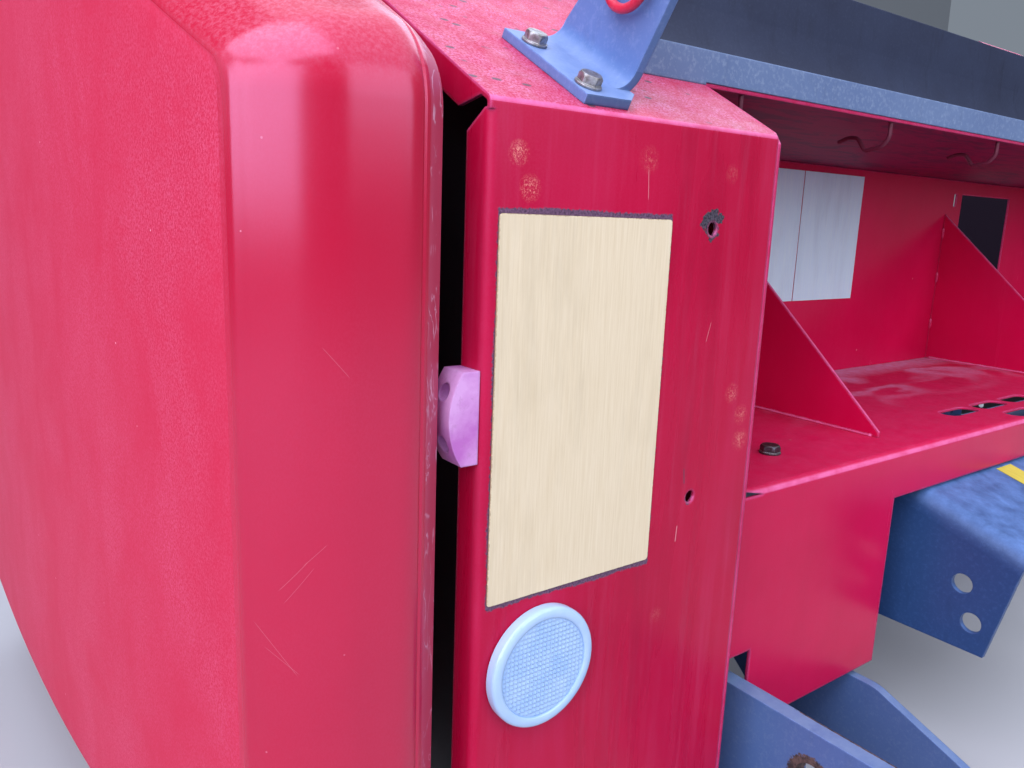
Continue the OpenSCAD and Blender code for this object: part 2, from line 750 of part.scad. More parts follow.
// Buffer block on the housing's return flange: a D in the front view, with two sunk holes.
module buffer() {
    flat = 11;
    bulge = buffer_out - flat;
    r = (buffer_h * buffer_h / 4 + bulge * bulge) / (2 * bulge);
    mid = buffer_z + buffer_h / 2;
    y0 = 2;
    screw_z = 15;
    screw_d = 5.5;
    head_d = 10;
    under_head = 8;
    difference() {
        front_view(y0, buffer_d) intersection() {
            translate([-seat - buffer_out, buffer_z]) square([buffer_out, buffer_h]);
            translate([-seat - buffer_out + r, mid]) circle(r = r, $fn = 96);
        }
        for (z = [mid - screw_z, mid + screw_z])
            translate([-seat - buffer_out - 1, y0 + buffer_d / 2, z]) rotate([0, 90, 0]) {
                cylinder(h = buffer_out + 2, d = screw_d);
                cylinder(h = buffer_out - under_head, d = head_d);
            }
    }
}

module reflector() {
    ring = 7;
    step = 1;
    translate([reflector_x, -seat, -reflector_drop]) rotate([90, 0, 0]) difference() {
        cylinder(h = reflector_t, d = reflector_d, $fn = 96);
        translate([0, 0, reflector_t - step]) cylinder(h = step + 1, d = reflector_d - 2 * ring, $fn = 96);
    }
}

module sign_plate() {
    front_view(-seat - sign_t, sign_t) translate([sign_x, sign_z]) square([sign_w, sign_h]);
}

// Two blank sheets side by side on the back wall.
module info_sheets() {
    gap = 2;
    for (i = [0, 1]) front_view(wall_y - seat - sign_t, sign_t)
        translate([info_x + i * (info_w + gap), info_z]) square([info_w, info_h]);
}

// Cross beam between the side plates.
module cross_beam() {
    left = plate_x + plate_t + seat;
    long = 2 * (half_span - left);
    inside = beam_s - 2 * beam_t;
    translate([left, beam_y, -beam_drop - beam_s]) difference() {
        cube([long, beam_s, beam_s]);
        translate([-1, beam_t, beam_t]) cube([long + 2, inside, inside]);
    }
}

// Flange behind the beam: the face by which the section is bolted on.
module chassis_flange() {
    translate([half_span, beam_y + beam_s + seat, chassis_z]) rotate([-90, 0, 0]) linear_extrude(chassis_t)
        difference() {
            square([chassis_w, chassis_h], center = true);
            for (sx = [-1, 1]) for (sz = [-1, 1])
                translate([sx * chassis_px / 2, sz * chassis_pz / 2]) circle(d = chassis_hole);
        }
}

// Outer lug plates, which pass through the apron's corner notch.
beam_low = beam_drop + beam_s;
module lug_plates() {
    both_sides() side_view(lug_x, lug_t) difference() {
        polygon([[-lug_reach, -housing_drop], [beam_y - seat, -beam_low], [beam_y - seat, -lug_top],
            [-lug_reach, -lug_top]]);
        translate([-lug_pin_out, -lug_pin_drop]) circle(d = lug_pin_d);
    }
}

// Rounded lug plates, whose tops pass under the apron's deep end parts.
module rounded_lugs() {
    slope = 21;
    rear_h = 25;
    past = 20;
    low_y = 140;
    c = [rounded_y, -apron_deep - under_gap - rounded_r];
    arc = [for (i = [0:8]) let (a = 90 + slope - slope * i / 8) c + rounded_r * [cos(a), sin(a)]];
    nose_z = arc[0].y - (lug_reach + arc[0].x) * tan(slope);
    back = beam_y - seat;
    both_sides() side_view(rounded_x, rounded_t) polygon(concat([[-lug_reach, -housing_drop],
        [-lug_reach, nose_z]], arc, [[apron_y + sheet + past, c.y + rounded_r],
        [back, rear_h - beam_low], [back, -beam_low], [low_y, -housing_drop]]));
}

// Bent brackets in front of the beam, open in front and below, with two pin holes in their outer wall.
module box_brackets() {
    rise = tan(box_slope);
    past = 20;
    nose_cut = [5, 14];
    low_back = 19;
    apron_back = apron_y + sheet;
    rear = apron_back + past;
    nose = [-box_nose, -apron_h - box_gap - (apron_back + box_nose) * rise];
    both_sides() difference() {
        intersection() {
            side_view(box_x - 1, box_w + 2) polygon([[beam_y - seat, -box_low],
                [nose.x + low_back, -box_low], nose - nose_cut, nose,
                [rear, nose.y + (rear - nose.x) * rise], [beam_y - seat, -beam_drop]]);
            difference() {
                box_bend(nose, 0);
                box_bend(nose, box_t);
            }
        }
        for (i = [0, 1])
            translate([box_x - 1, -box_hole_out - i * box_hole_dy, -box_hole_drop - i * box_hole_dz])
                rotate([0, 90, 0]) cylinder(h = box_t + 2, d = box_hole);
    }
}

// The bracket's rounded section along the slope of its top, drawn in by an inset.
module box_bend(nose, inset) {
    w = box_w - 2 * inset;
    r = box_r - inset;
    deep = box_low + beam_s + inset;
    long = 2 * box_nose + beam_y + beam_s;
    translate([0, nose.x, nose.y]) rotate([box_slope, 0, 0]) front_view(-box_nose, long)
        translate([box_x + inset, 0]) {
            translate([0, -deep]) square([w, deep - inset - r]);
            translate([r, -deep]) square([w - 2 * r, deep - inset]);
            for (x = [r, w - r]) translate([x, -inset - r]) circle(r = r);
        }
}

red = [0.68, 0.05, 0.16];
cover_red = [0.75, 0.1, 0.2];
grey = [0.3, 0.38, 0.5];
steel = [0.6, 0.62, 0.66];
dark = [0.08, 0.08, 0.1];

placed() color(red) housing();  // housing_left
placed() color(red) other_side() housing();  // housing_right
placed() color(red) inner_wall();  // inner_wall_left
placed() color(red) other_side() inner_wall();  // inner_wall_right
placed() color(dark) side_plate();  // side_plate_left
placed() color(dark) other_side() side_plate();  // side_plate_right
placed() color(cover_red) side_cover();  // side_cover_left
placed() color(cover_red) other_side() side_cover();  // side_cover_right
placed() color(dark) cover_straps();  // cover_straps_left
placed() color(dark) other_side() cover_straps();  // cover_straps_right
placed() color(dark) hinge_brackets();  // hinge_brackets_left
placed() color(dark) other_side() hinge_brackets();  // hinge_brackets_right
placed() color(red) shelf();
placed() color(red) back_wall();
placed() color(red) recess_roof();
placed() color(dark) net_tray();
placed() color(grey) front_rail();
placed() color(red) gusset(gusset_x);  // gusset_left
placed() color(red) gusset(half_span - sheet / 2);  // gusset_middle
placed() color(red) other_side() gusset(gusset_x);  // gusset_right
placed() color(steel) wire_hooks();
placed() color(grey) roll_bracket();  // roll_bracket_left
placed() color(grey) other_side() roll_bracket();  // roll_bracket_right
placed() color(red) lock_pin();  // lock_pin_left
placed() color(red) other_side() lock_pin();  // lock_pin_right
placed() color(steel) bracket_bolts();
placed() color(steel) shelf_bolts();
placed() color([0.8, 0.5, 0.75]) buffer();  // buffer_left
placed() color([0.8, 0.5, 0.75]) other_side() buffer();  // buffer_right
placed() color([0.85, 0.9, 0.95]) reflector();  // reflector_left
placed() color([0.85, 0.9, 0.95]) other_side() reflector();  // reflector_right
placed() color([0.9, 0.85, 0.65]) sign_plate();  // sign_plate_left
placed() color([0.9, 0.85, 0.65]) other_side() sign_plate();  // sign_plate_right
placed() color([0.9, 0.9, 0.92]) info_sheets();
placed() color(grey) cross_beam();
placed() color(grey) chassis_flange();
placed() color(grey) lug_plates();
placed() color(grey) rounded_lugs();
placed() color(grey) box_brackets();
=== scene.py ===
"""Looks of a round baler's front section: side covers, corner housings, net box and front frame.

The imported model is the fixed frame. Each sub-assembly is a class that builds its pieces as
surfaces worked out with numpy and dresses them, and each finish is a frozen dataclass.
Lengths given in millimetres are laid out from the left housing's outer edge, its front face
and the shelf's top, and Layout turns them into the frame's metres.
"""
from __future__ import annotations

import logging
import math
from dataclasses import dataclass, field
from enum import Enum
from functools import cached_property, reduce
from typing import Sequence

import bmesh
import bpy
import numpy as np
from mathutils import Matrix, Vector


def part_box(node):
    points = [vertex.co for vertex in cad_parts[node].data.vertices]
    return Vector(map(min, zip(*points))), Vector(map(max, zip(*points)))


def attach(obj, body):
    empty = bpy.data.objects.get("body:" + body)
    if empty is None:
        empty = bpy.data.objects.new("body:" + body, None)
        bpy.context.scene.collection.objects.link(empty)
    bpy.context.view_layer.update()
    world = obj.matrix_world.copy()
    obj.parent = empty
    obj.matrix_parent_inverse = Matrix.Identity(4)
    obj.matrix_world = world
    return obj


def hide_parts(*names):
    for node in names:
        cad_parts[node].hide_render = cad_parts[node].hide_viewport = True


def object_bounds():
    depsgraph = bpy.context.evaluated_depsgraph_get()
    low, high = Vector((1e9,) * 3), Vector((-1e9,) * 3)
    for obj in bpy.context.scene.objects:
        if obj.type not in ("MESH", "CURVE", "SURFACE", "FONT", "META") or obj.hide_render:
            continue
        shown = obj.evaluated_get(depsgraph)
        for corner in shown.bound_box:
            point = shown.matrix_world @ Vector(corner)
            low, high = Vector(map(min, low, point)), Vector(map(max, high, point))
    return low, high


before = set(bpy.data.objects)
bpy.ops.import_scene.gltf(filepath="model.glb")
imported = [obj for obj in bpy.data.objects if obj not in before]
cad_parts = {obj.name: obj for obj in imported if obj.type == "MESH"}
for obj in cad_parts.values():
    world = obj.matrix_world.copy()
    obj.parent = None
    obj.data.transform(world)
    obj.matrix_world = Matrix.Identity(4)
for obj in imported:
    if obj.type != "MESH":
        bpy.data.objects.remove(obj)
CAD_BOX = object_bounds()

LOG = logging.getLogger("front_section")
ROOT = "front_section"
MM = 0.001
Socket = bpy.types.NodeSocket
Colour = tuple[float, float, float]
Place = tuple[float, float, float]


class Side(Enum):
    """Which end of the section a piece stands at, as the viewer sees it."""

    LEFT = -1
    RIGHT = 1

    @property
    def word(self) -> str:
        """The side's name as the nodes spell it."""
        return self.name.lower()


@dataclass(frozen=True)
class Layout:
    """Where the layout corner of the section lies in the frame, read from the CAD nodes."""

    edge_x: float
    face_y: float
    shelf_z: float

    @classmethod
    def from_frame(cls) -> Layout:
        """Reads the corner from the left housing and the shelf.

        Returns:
            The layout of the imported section.
        """
        housing_low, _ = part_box("housing_left")
        _, shelf_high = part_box("shelf")
        return cls(housing_low.x, housing_low.y, shelf_high.z)

    def place(self, points_mm: np.ndarray, side: Side = Side.LEFT) -> np.ndarray:
        """Turns layout millimetres into frame metres, mirrored for the right side.

        Args:
            points_mm: An array whose last axis is x, y, z in millimetres.
            side: The side that the piece stands at.

        Returns:
            The same array in metres.
        """
        out = np.asarray(points_mm, float) * MM + np.array([self.edge_x, self.face_y, self.shelf_z])
        out[..., 0] *= -side.value
        return out

    def spot(self, x: float, y: float, z: float) -> Vector:
        """One layout point as a vector in metres."""
        return Vector(self.place(np.array([x, y, z])))

    def folded(self, x: float, y: float, z: float) -> Vector:
        """One layout point in metres, with x as its distance from the middle."""
        at = self.spot(x, y, z)
        return Vector((abs(at.x), at.y, at.z))


LAYOUT = Layout.from_frame()
ROOF_SLOPE = math.radians(29.6)
ROOF_FOLD_Z = 278.0
WALL_Y = 342.0
WALL_REAR_Y = 346.0
SIGN_CENTRE = (74.5, 104.5)
SIGN_SIZE = (134.0, 229.0)


def on_roof(points: np.ndarray) -> np.ndarray:
    """Turns roof directions into layout ones.

    The formula is a turn about the roof's front fold: x stays, u runs up the slope, w stands
    square to the sheet.

    Args:
        points: An array whose last axis is x, u, w in millimetres.

    Returns:
        The array as x, y, z in layout millimetres.
    """
    x, u, w = np.moveaxis(np.asarray(points, float), -1, 0)
    y = u * math.cos(ROOF_SLOPE) - w * math.sin(ROOF_SLOPE)
    z = ROOF_FOLD_Z + u * math.sin(ROOF_SLOPE) + w * math.cos(ROOF_SLOPE)
    return np.stack([x, y, z], axis=-1)


def round_angles(count: int) -> np.ndarray:
    """Evenly spread angles of one full turn."""
    return np.linspace(0, 2 * np.pi, count, endpoint=False)


def grid_faces(rows: int, cols: int, close_rows: bool, close_cols: bool) -> np.ndarray:
    """Quads that join a grid of points row by row.

    Args:
        rows: Number of rows.
        cols: Number of columns.
        close_rows: Whether the last row joins the first.
        close_cols: Whether the last column joins the first.

    Returns:
        An array of four indices a face.
    """
    r = np.arange(rows if close_rows else rows - 1)[:, None]
    c = np.arange(cols if close_cols else cols - 1)[None, :]
    r1, c1 = (r + 1) % rows, (c + 1) % cols
    corners = [r * cols + c, r * cols + c1, r1 * cols + c1, r1 * cols + c]
    return np.stack([np.broadcast_to(k, (r.size, c.size)) for k in corners], axis=-1).reshape(-1, 4)


@dataclass
class Surface:
    """A mesh under way: points in metres and faces as index lists."""

    points: list[np.ndarray] = field(default_factory=list)
    faces: list[list[int]] = field(default_factory=list)
    count: int = 0

    def add_grid(
        self, points_mm: np.ndarray, side: Side = Side.LEFT, close_rows: bool = False,
        close_cols: bool = False, cap_first: bool = False, cap_last: bool = False,
    ) -> None:
        """Adds a grid of layout points, with its first and last rows closed by a face if asked.

        Args:
            points_mm: Points as rows by columns by three, in layout millimetres.
            side: The side that they stand at.
            close_rows: Whether the last row joins the first.
            close_cols: Whether the last column joins the first.
            cap_first: Whether one face closes the first row.
            cap_last: Whether one face closes the last row.
        """
        rows, cols = points_mm.shape[:2]
        self.faces.extend((grid_faces(rows, cols, close_rows, close_cols) + self.count).tolist())
        if cap_first:
            self.faces.append((self.count + np.arange(cols)[::-1]).tolist())
        if cap_last:
            self.faces.append((self.count + (rows - 1) * cols + np.arange(cols)).tolist())
        self.points.append(LAYOUT.place(points_mm, side).reshape(-1, 3))
        self.count += rows * cols

    def add_rod(self, points_mm: np.ndarray, side: Side = Side.LEFT) -> None:
        """Adds closed rings of layout points, with a face over each end."""
        self.add_grid(points_mm, side, close_cols=True, cap_first=True, cap_last=True)

    def add_foil(self, top: np.ndarray, under: np.ndarray) -> None:
        """Adds a thin sheet, whose edges are strips between its two faces.

        Args:
            top: The outer face's layout points, as a grid.
            under: The inner face's points, in the same order.
        """
        self.add_grid(top)
        self.add_grid(under[::-1])
        edges = (
            (top[0], under[0]), (under[-1], top[-1]), (under[:, 0], top[:, 0]), (top[:, -1], under[:, -1]))
        for pair in edges:
            self.add_grid(np.stack(pair))

    def build(self, name: str, finish: Finish, smooth: bool = True, sharp: float = 40.0) -> bpy.types.Object:
        """Makes the mesh object at the origin with its doubles merged and its faces outwards.

        Args:
            name: The piece's name.
            finish: Its finish.
            smooth: Whether its faces are shaded smooth.
            sharp: Angle in degrees past which an edge stays sharp.

        Returns:
            The linked object.
        """
        mesh = bpy.data.meshes.new(name)
        mesh.from_pydata(np.concatenate(self.points).tolist(), [], self.faces)
        mesh.validate()
        work = bmesh.new()
        work.from_mesh(mesh)
        bmesh.ops.remove_doubles(work, verts=work.verts, dist=1e-6)
        bmesh.ops.recalc_face_normals(work, faces=work.faces)
        work.to_mesh(mesh)
        work.free()
        mesh.polygons.foreach_set("use_smooth", [smooth] * len(mesh.polygons))
        if smooth:
            mesh.set_sharp_from_angle(angle=math.radians(sharp))
        mesh.materials.append(finish.material)
        obj = bpy.data.objects.new(name, mesh)
        bpy.context.scene.collection.objects.link(obj)
        return obj


def tube(path_mm: np.ndarray, radius_mm: float | np.ndarray, sides: int) -> np.ndarray:
    """A round profile carried along a path.

    The formula is a circle in the plane square to the path's tangent, set out from the path
    by two directions made from the tangent and a fixed upright.

    Args:
        path_mm: The path's points in millimetres.
        radius_mm: One radius, or one for each point.
        sides: Points round the circle.

    Returns:
        A grid of points, path by circle.
    """
    tangent = np.gradient(path_mm, axis=0)
    tangent /= np.linalg.norm(tangent, axis=1, keepdims=True)
    upright = np.eye(3)[int(np.argmin(np.ptp(path_mm, axis=0)))]
    first = np.cross(tangent, upright)
    first /= np.linalg.norm(first, axis=1, keepdims=True)
    second = np.cross(tangent, first)
    turn = round_angles(sides)[None, :, None]
    radius = np.broadcast_to(np.asarray(radius_mm, float), (len(path_mm),))[:, None, None]
    ring = np.cos(turn) * first[:, None, :] + np.sin(turn) * second[:, None, :]
    return path_mm[:, None, :] + radius * ring


def rounded_path(points_mm: np.ndarray, bend: float, steps: int = 6) -> np.ndarray:
    """A path of straight lengths with its corners rounded.

    Each corner is a curve of the second degree from one bend length before it to one after.

    Args:
        points_mm: The corners in millimetres.
        bend: How far from each corner the curve starts.
        steps: Points on each curve.

    Returns:
        The path's points.
    """
    before, at, after = points_mm[:-2], points_mm[1:-1], points_mm[2:]
    a = at + (before - at) / np.linalg.norm(before - at, axis=1, keepdims=True) * bend
    b = at + (after - at) / np.linalg.norm(after - at, axis=1, keepdims=True) * bend
    t = np.linspace(0, 1, steps)[None, :, None]
    curves = (1 - t) ** 2 * a[:, None] + 2 * t * (1 - t) * at[:, None] + t**2 * b[:, None]
    return np.concatenate([points_mm[:1], curves.reshape(-1, 3), points_mm[-1:]])


def lathe(profile: Sequence[tuple[float, float]], sides: int) -> np.ndarray:
    """A profile of radius and height turned about the third axis.

    Args:
        profile: Pairs of radius and height in millimetres.
        sides: Points round the axis.

    Returns:
        A grid of points, profile by turn, in the profile's own directions.
    """
    prof = np.asarray(profile, float)
    turn = round_angles(sides)
    r, h = prof[:, :1], prof[:, 1:]
    return np.stack([r * np.cos(turn), r * np.sin(turn), np.broadcast_to(h, (len(prof), sides))], axis=-1)


def smooth_through(knots: np.ndarray, values: np.ndarray, at: np.ndarray) -> np.ndarray:
    """A curve through given values with no overshoot.

    Cubic pieces between the knots take their slopes from the harmonic mean of the
    neighbouring rises, or none where the rises change sign.

    Args:
        knots: Where the values stand.
        values: The values.
        at: Where the curve is wanted.

    Returns:
        The curve's values.
    """
    step = np.diff(knots)
    rise = np.diff(values) / step
    product = rise[:-1] * rise[1:]
    total = rise[:-1] + rise[1:]
    inner = np.where(product > 0, 2 * product / np.where(total == 0, 1, total), 0.0)
    slope = np.concatenate([rise[:1], inner, rise[-1:]])
    k = np.clip(np.searchsorted(knots, at, side="right") - 1, 0, len(step) - 1)
    h = step[k]
    t = (at - knots[k]) / h
    return (
        (2 * t**3 - 3 * t**2 + 1) * values[k] + (t**3 - 2 * t**2 + t) * h * slope[k]
        + (3 * t**2 - 2 * t**3) * values[k + 1] + (t**3 - t**2) * h * slope[k + 1]
    )


def toned(colour: Colour, share: float, lift: float = 0.0) -> Colour:
    """A colour made darker or lighter by one share and lift."""
    return tuple(min(1.0, c * share + lift) for c in colour)


@dataclass(frozen=True)
class Spot:
    """A place where paint is marked, in layout millimetres, with its radius and strength."""

    x: float
    y: float
    z: float
    radius: float
    share: float = 1.0


@dataclass(frozen=True)
class Scratch:
    """A thin straight mark between two places, in layout millimetres.

    A flat mark's distance is taken in the front view.
    """

    start: Place
    end: Place
    width: float = 0.6
    share: float = 0.6
    colour: Colour = (0.82, 0.40, 0.44)
    flat: bool = True


class Shader:
    """A material under way: the nodes that the finishes share, on Object coordinates.

    The colour so far is kept in base, and lay puts one more colour over it.
    """

    def __init__(self, name: str) -> None:
        """Starts a material with one Principled shader.

        Args:
            name: The material's name.
        """
        self.material = bpy.data.materials.new(name)
        self.material.use_nodes = True
        self.tree = self.material.node_tree
        self.tree.nodes.clear()
        self.surface = self.node("BsdfPrincipled", {})
        self.node("OutputMaterial", {"Surface": self.surface.outputs["BSDF"]})
        self.place = self.node("TexCoord", {}).outputs["Object"]
        self.base: Socket | Colour = (0.0, 0.0, 0.0)

    def node(self, kind: str, inputs: dict[str | int, object], **settings: object) -> bpy.types.Node:
        """Adds a node.

        Args:
            kind: Its type, after the word ShaderNode.
            inputs: Sockets, numbers or colours for its inputs.
            settings: Its own properties.

        Returns:
            The node.
        """
        node = self.tree.nodes.new(f"ShaderNode{kind}")
        for key, value in settings.items():
            setattr(node, key, value)
        for key, value in inputs.items():
            self.put(node.inputs[key], value)
        return node

    def put(self, target: Socket, value: object) -> None:
        """Links a socket or sets a plain value.

        Args:
            target: The input socket.
            value: A socket to link, a number, a vector or a colour.
        """
        if isinstance(value, bpy.types.NodeSocket):
            self.tree.links.new(value, target)
        elif isinstance(value, tuple) and target.type == "RGBA":
            target.default_value = (*value, 1.0)
        else:
            target.default_value = value

    def finish(self, **values: Socket | float | Colour) -> None:
        """Sets the base colour and other inputs of the shader, with underscores for spaces."""
        for key, value in {"Base_Color": self.base, **values}.items():
            self.put(self.surface.inputs[key.replace("_", " ")], value)

    def stretched(self, x: float, y: float, z: float) -> Socket:
        """Object coordinates scaled along each axis."""
        return self.node("Mapping", {"Vector": self.place, "Scale": (x, y, z)}).outputs["Vector"]

    def noise(
        self, scale: float, detail: float = 4, rough: float = 0.55, at: Socket | None = None, warp: float = 0,
    ) -> Socket:
        """Fractal noise from 0 to 1.

        Args:
            scale: Features a metre.
            detail: Number of octaves.
            rough: Strength of the finer octaves.
            at: Coordinates, or the object's own.
            warp: Distortion.

        Returns:
            The factor socket.
        """
        inputs = {
            "Vector": at or self.place, "Scale": scale, "Detail": detail, "Roughness": rough,
            "Distortion": warp}
        return self.node("TexNoise", inputs).outputs["Fac"]

    def cells(self, scale: float, at: Socket | None = None) -> Socket:
        """Distance to scattered points."""
        return self.node("TexVoronoi", {"Vector": at or self.place, "Scale": scale}).outputs["Distance"]

    def span(self, value: Socket, low: float, high: float, to_low: float = 0, to_high: float = 1) -> Socket:
        """Maps low..high to to_low..to_high, held at both ends."""
        ends = {"From Min": low, "From Max": high, "To Min": to_low, "To Max": to_high}
        return self.node("MapRange", {"Value": value, **ends}, clamp=True).outputs["Result"]

    def calc(self, kind: str, a: Socket | float, b: Socket | float = 0.0, held: bool = False) -> Socket:
        """One step of arithmetic, held from 0 to 1 if asked."""
        return self.node("Math", {0: a, 1: b}, operation=kind, use_clamp=held).outputs["Value"]

    def times(self, *shares: Socket | float) -> Socket:
        """The product of shares, held from 0 to 1."""
        return reduce(lambda a, b: self.calc("MULTIPLY", a, b, held=True), shares)

    def plus(self, *shares: Socket | float) -> Socket:
        """The sum of shares, held from 0 to 1."""
        return reduce(lambda a, b: self.calc("ADD", a, b, held=True), shares)

    def most(self, a: Socket | float, b: Socket | float) -> Socket:
        """The larger of two values."""
        return self.calc("MAXIMUM", a, b)

    def size(self, value: Socket) -> Socket:
        """A value without its sign."""
        return self.calc("ABSOLUTE", value)

    def off_middle(self, noise: Socket) -> Socket:
        """How far a noise is from its middle."""
        return self.size(self.calc("ADD", noise, -0.5))

    def blend(self, factor: Socket | float, a: Socket | Colour, b: Socket | Colour) -> Socket:
        """Mixes two colours.

        Args:
            factor: Share of the second colour.
            a: The colour where the factor is 0.
            b: The colour where it is 1.

        Returns:
            The mixed colour's socket.
        """
        node = self.node("Mix", {}, data_type="RGBA")
        colours = [s for s in node.inputs if s.type == "RGBA"]
        for target, value in zip((node.inputs["Factor"], *colours), (factor, a, b)):
            self.put(target, value)
        return next(s for s in node.outputs if s.type == "RGBA")

    def lay(self, share: Socket | float, colour: Socket | Colour) -> None:
        """Lays a colour over the base by its share."""
        self.base = self.blend(share, self.base, colour)

    def scratch(self, marks: Sequence[Scratch]) -> None:
        """Lays scratches over the base."""
        for mark in marks:
            self.lay(self.times(self.along(mark), mark.share), mark.colour)

    def split(self, vector: Socket) -> bpy.types.NodeOutputs:
        """A vector's coordinates by name."""
        return self.node("SeparateXYZ", {"Vector": vector}).outputs

    @cached_property
    def mirrored(self) -> Socket:
        """Object coordinates with the right side folded onto the left one's distances.

        Returns:
            The coordinates' socket.
        """
        parts = self.split(self.place)
        folded = {"X": self.size(parts["X"]), "Y": parts["Y"], "Z": parts["Z"]}
        return self.node("CombineXYZ", folded).outputs["Vector"]

    def vector(self, kind: str, a: Socket | Vector, b: Socket | Vector) -> bpy.types.NodeOutputs:
        """One step of vector arithmetic, as its outputs."""
        return self.node("VectorMath", {0: a, 1: b}, operation=kind).outputs

    def near(self, spot: Spot, inner: float, outer: float) -> Socket:
        """A share of 1 round one place of both sides that fades out.

        Args:
            spot: The place and its radius.
            inner: Share of the radius up to which the result is 1.
            outer: Share of the radius from which it is 0.

        Returns:
            The share's socket.
        """
        gap = self.vector("DISTANCE", self.mirrored, LAYOUT.folded(spot.x, spot.y, spot.z))["Value"]
        return self.span(gap, spot.radius * MM * outer, spot.radius * MM * inner)

    def along(self, mark: Scratch) -> Socket:
        """A share of 1 along a straight mark, told by the distance to its line.

        Args:
            mark: The mark.

        Returns:
            The share's socket.
        """
        seen = Vector((1, 0, 1)) if mark.flat else Vector((1, 1, 1))
        start, end = (LAYOUT.folded(*place) * seen for place in (mark.start, mark.end))
        line = end - start
        offset = self.vector("SUBTRACT", self.vector("MULTIPLY", self.mirrored, seen)[0], start)[0]
        gap = self.vector("DISTANCE", offset, self.vector("PROJECT", offset, line)[0])["Value"]
        run = self.vector("DOT_PRODUCT", offset, line.normalized())["Value"]
        length, half = line.length, mark.width * MM / 2
        ends = self.times(self.span(run, 0, length * 0.1), self.span(run, length, length * 0.9))
        return self.times(self.span(gap, half, half * 0.4), ends)

    def squiggles(self, scale: float, x: float, y: float, z: float) -> Socket:
        """Short curled lines, where one stretched noise passes its middle and another is high."""
        middle = self.off_middle(self.noise(scale, 3, 0.5, self.stretched(x, y, z), 1.5))
        return self.times(self.span(middle, 0.022, 0.006), self.span(self.noise(scale * 0.8, 3), 0.46, 0.54))

    def glue_edge(self, centre: tuple[float, float], size: tuple[float, float], ragged: Socket) -> Socket:
        """A share of 1 inside a slightly larger ragged rectangle on what faces the front.

        Args:
            centre: The sign's centre as layout x and z.
            size: The sign's width and height in millimetres.
            ragged: Noise that shifts the edge.

        Returns:
            The share's socket.
        """
        trim_x, edge, soft, wander, fray = 0.0026, 0.0056, 0.0008, 0.0016, 0.0022
        parts = self.split(self.vector("SUBTRACT", self.mirrored, LAYOUT.folded(centre[0], 0, centre[1]))[0])
        out_x = self.calc("SUBTRACT", self.size(parts["X"]), size[0] / 2 * MM - trim_x)
        out_z = self.calc("SUBTRACT", self.size(parts["Z"]), size[1] / 2 * MM)
        uneven = self.span(self.noise(16, 3), 0.35, 0.65, 0, wander)
        outside = self.calc("ADD", self.most(out_x, out_z), self.span(ragged, 0.3, 0.7, 0, fray))
        outside = self.calc("ADD", outside, uneven)
        return self.times(self.span(outside, edge, edge - soft), self.facing("Y", -0.90, -0.97))

    def facing(self, axis: str, low: float, high: float) -> Socket:
        """Share by which the surface faces along an axis, either way for X."""
        value = self.split(self.node("NewGeometry", {}).outputs["Normal"])[axis]
        return self.span(self.size(value) if axis == "X" else value, low, high)

    def part(self, axis: str) -> Socket:
        """One of the object's coordinates, in metres."""
        return self.split(self.place)[axis]

    def soft_edges(self, radius: float) -> tuple[Socket, Socket]:
        """Normals rounded at the edges, and a share that rises towards an edge.

        Args:
            radius: The rounding in metres.

        Returns:
            The rounded normal and the share from 0 to 1.
        """
        normal = self.node("Bevel", {"Radius": radius}, samples=4).outputs["Normal"]
        likeness = self.vector("DOT_PRODUCT", normal, self.node("NewGeometry", {}).outputs["Normal"])["Value"]
        return normal, self.span(likeness, 0.995, 0.86)

    def relief(self, height: Socket, depth: float, strength: float, under: Socket | None = None) -> None:
        """Bumps the surface.

        Args:
            height: Height from 0 to 1.
            depth: What 1 stands for in metres.
            strength: Strength of the effect.
            under: A normal to start from.
        """
        inputs = {"Strength": strength, "Distance": depth, "Height": height}
        if under is not None:
            inputs["Normal"] = under
        self.put(self.surface.inputs["Normal"], self.node("Bump", inputs).outputs["Normal"])


@dataclass(frozen=True)
class Finish:
    """A named finish, whose material is made at its first use."""

    name: str

    def paint(self, s: Shader) -> None:
        """Sets the shader's colour, gloss and relief.

        Args:
            s: The material under way.
        """
        raise NotImplementedError

    @cached_property
    def material(self) -> bpy.types.Material:
        """The finish as a node material.

        Returns:
            The material.
        """
        s = Shader(self.name)
        self.paint(s)
        return s.material


